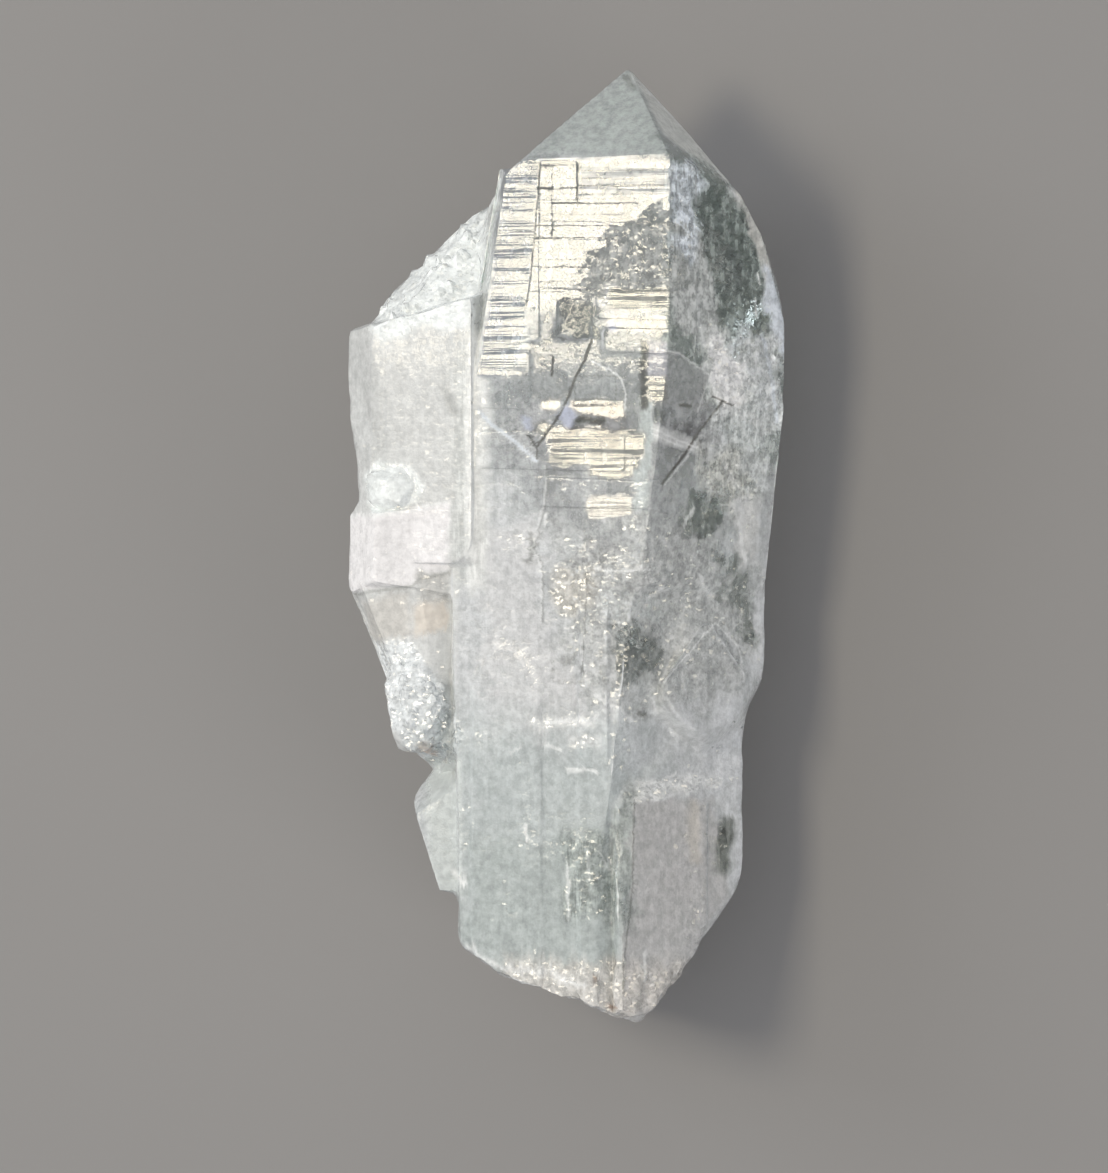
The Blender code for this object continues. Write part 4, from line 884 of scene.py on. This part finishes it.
def colour_setting(name, description, value):
    """A colour that the user may change."""
    return FloatVectorProperty(
        name=name, description=description, default=value, size=4, subtype="COLOR", min=0.0, max=1.0
    )


class QuartzLook(bpy.types.PropertyGroup):
    """What the quartz is like."""

    body: colour_setting("Body", "Tint of the clear and hazy quartz", (0.895, 0.91, 0.925, 1.0))
    # The cream of the front lamp's reflection, painted into the tint of the mirror patches.
    painted_reflection_cream: colour_setting("Cream", "Tint of the bright growth patches", (0.93, 0.895, 0.83, 1.0))
    milk: colour_setting("Milk", "Tint of the milky side crystal", (0.74, 0.75, 0.74, 1.0))
    frost: colour_setting("Frost", "Tint of the frosted slope and pebble", (0.95, 0.985, 0.975, 1.0))
    depth_colour: colour_setting("Depth tint", "What light keeps in deep quartz", (0.80, 0.90, 0.84, 1.0))
    depth_density: FloatProperty(
        name="Depth density", description="How quickly deep quartz takes light", default=14.0, min=0.0
    )
    haze: FloatProperty(
        name="Haze", description="Cloudiness everywhere", default=0.0, min=-1.0, max=1.0, subtype="FACTOR"
    )
    ior: FloatProperty(name="Refractive index", description="Of quartz", default=1.544, min=1.0, max=2.5)


class QuartzStage(bpy.types.PropertyGroup):
    """The board, the lights and the camera."""

    floor_colour: colour_setting("Board", "Colour of the board below", (0.27, 0.262, 0.257, 1.0))
    floor_size: FloatProperty(
        name="Board size", description="Side of the board", default=4.0, min=0.5, unit="LENGTH"
    )
    sky_strength: FloatProperty(name="Room light", description="Light from the room", default=0.75, min=0.0)
    key_power: FloatProperty(name="Key", description="Power of the lamp in front", default=1.3, min=0.0)
    fill_power: FloatProperty(name="Fill", description="Power of the lamp at the left", default=1.1, min=0.0)
    camera_distance: FloatProperty(
        name="Camera distance", description="From the specimen's middle", default=0.9, min=0.3, unit="LENGTH"
    )


# Operators


class OBJECT_OT_quartz_crystal(bpy.types.Operator):
    """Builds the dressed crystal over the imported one"""

    bl_idname = "object.quartz_crystal"
    bl_label = "Quartz crystal"

    def execute(self, context):
        look = context.scene.quartz_look
        named = {"body": look.body, "painted_reflection_cream": look.painted_reflection_cream, "milk": look.milk, "frost": look.frost}
        tints = {name: np.array(colour[:3]) for name, colour in named.items()}
        points, corners, finish = dressed_surface(tints)
        if len(corners) > TRIANGLE_LIMIT:
            raise RuntimeError(f"the crystal has {len(corners)} triangles, over {TRIANGLE_LIMIT}")
        piece = new_piece("quartz_specimen", points, corners, quartz_finish(look))
        tint = np.concatenate([finish.pop("tint"), np.ones((len(points), 1))], axis=1)
        colours = piece.data.attributes.new("tint", "FLOAT_COLOR", "POINT")
        colours.data.foreach_set("color", np.clip(tint, 0.0, 1.0).astype(np.float32).ravel())
        for name, values in finish.items():
            share = piece.data.attributes.new(name, "FLOAT", "POINT")
            share.data.foreach_set("value", np.clip(values, 0.0, 1.0).astype(np.float32))
        piece.data.shade_smooth()
        piece.data.set_sharp_from_angle(angle=SHARP_ANGLE)
        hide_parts(NODE)
        return {"FINISHED"}


def soft_light(name, place, target, size, power, colour):
    """An area light at a place, turned towards a target, both in metres."""
    lamp = bpy.data.lights.new(name, "AREA")
    lamp.shape = "RECTANGLE"
    lamp.size, lamp.size_y = size
    lamp.energy = power
    lamp.color = colour
    light = bpy.data.objects.new(name, lamp)
    light.location = place
    light.rotation_euler = (Vector(target) - Vector(place)).to_track_quat("-Z", "Y").to_euler()
    bpy.context.scene.collection.objects.link(light)
    return light


class OBJECT_OT_quartz_stage(bpy.types.Operator):
    """Adds the pale board, the soft lights and the camera"""

    bl_idname = "object.quartz_stage"
    bl_label = "Board, lights and camera"

    def execute(self, context):
        scene, stage = context.scene, context.scene.quartz_stage
        half = stage.floor_size / 2.0
        mesh = bpy.data.meshes.new("pale_board")
        corners = [(-half, -half, 0.0), (half, -half, 0.0), (half, half, 0.0), (-half, half, 0.0)]
        mesh.from_pydata(corners, [], [(0, 1, 2, 3)])
        mesh.materials.append(floor_finish(stage))
        board = bpy.data.objects.new("pale_board", mesh)
        scene.collection.objects.link(board)

        world = bpy.data.worlds.new("soft_room")
        world.use_nodes = True
        wire = Wiring(world)
        way = wire.add("ShaderNodeTexCoord").outputs["Generated"]
        lit = wire.add("ShaderNodeVectorMath", {0: way, 1: (-0.62, 0.42, 0.66)}, operation="DOT_PRODUCT")
        shade = wire.ramp(lit.outputs["Value"], -0.9, 1.0)
        colour = wire.mix(shade, (0.30, 0.31, 0.33, 1.0), (0.93, 0.95, 1.0, 1.0))
        sky = wire.add("ShaderNodeBackground", {"Color": colour, "Strength": stage.sky_strength})
        wire.add("ShaderNodeOutputWorld", {"Surface": sky.outputs["Background"]})
        scene.world = world

        # The key stands where the front face mirrors it into the camera.
        middle = Vector(to_rest(VIEW_MIDDLE))
        away = Vector((math.sin(TURN), 0.0, math.cos(TURN)))
        face = Vector(to_rest(FRONT_FACE))
        place = face + Vector((-away.x, 0.0, away.z)) * KEY_DISTANCE + Vector((0.0, KEY_RISE, 0.0))
        aim = face + Vector((0.0, KEY_AIM, 0.0))
        fill, low = stage.fill_power, stage.fill_power * LOW_SHARE
        soft_light("key_window", place, aim, (0.17, 0.15), stage.key_power, (1.0, 0.90, 0.71))
        soft_light("left_fill", (-0.55, 0.30, 0.40), middle, (0.35, 0.35), fill, (0.90, 0.95, 1.0))
        soft_light("low_fill", (0.50, -0.40, 0.30), middle, (0.30, 0.20), low, (1.0, 0.97, 0.95))

        lens = bpy.data.cameras.new("camera")
        lens.sensor_width = SENSOR
        lens.lens = SENSOR * stage.camera_distance * MM / FRAME_HEIGHT
        lens.clip_start, lens.clip_end = 0.01, 20.0
        camera = bpy.data.objects.new("camera", lens)
        camera.location = middle + away * stage.camera_distance
        right = Vector((math.cos(TURN), 0.0, -math.sin(TURN)))
        up = Vector((0.0, 1.0, 0.0))
        camera.rotation_euler = Matrix((right, up, away)).transposed().to_euler()
        scene.collection.objects.link(camera)
        scene.camera = camera
        scene.view_settings.view_transform = "Standard"
        scene.cycles.max_bounces = LIGHT_BOUNCES
        scene.cycles.transmission_bounces = LIGHT_BOUNCES
        return {"FINISHED"}


class VIEW3D_PT_quartz(bpy.types.Panel):
    """Lists what makes the specimen"""

    bl_label = "Quartz specimen"
    bl_idname = "VIEW3D_PT_quartz"
    bl_space_type = "VIEW_3D"
    bl_region_type = "UI"
    bl_category = "Quartz"

    def draw(self, context):
        column = self.layout.column()
        for operator in OPERATORS:
            column.operator(operator.bl_idname)
        for group in (context.scene.quartz_look, context.scene.quartz_stage):
            box = self.layout.box()
            for name in group.bl_rna.properties.keys():
                if name not in ("rna_type", "name"):
                    box.prop(group, name)


OPERATORS = (OBJECT_OT_quartz_crystal, OBJECT_OT_quartz_stage)
CLASSES = (QuartzLook, QuartzStage, *OPERATORS, VIEW3D_PT_quartz)


def register():
    for kind in CLASSES:
        bpy.utils.register_class(kind)
    bpy.types.Scene.quartz_look = PointerProperty(type=QuartzLook)
    bpy.types.Scene.quartz_stage = PointerProperty(type=QuartzStage)


def unregister():
    del bpy.types.Scene.quartz_look
    del bpy.types.Scene.quartz_stage
    for kind in reversed(CLASSES):
        bpy.utils.unregister_class(kind)


def main():
    register()
    bpy.ops.object.quartz_crystal()
    bpy.ops.object.quartz_stage()
    bpy.context.view_layer.update()


if __name__ == "__main__":
    main()
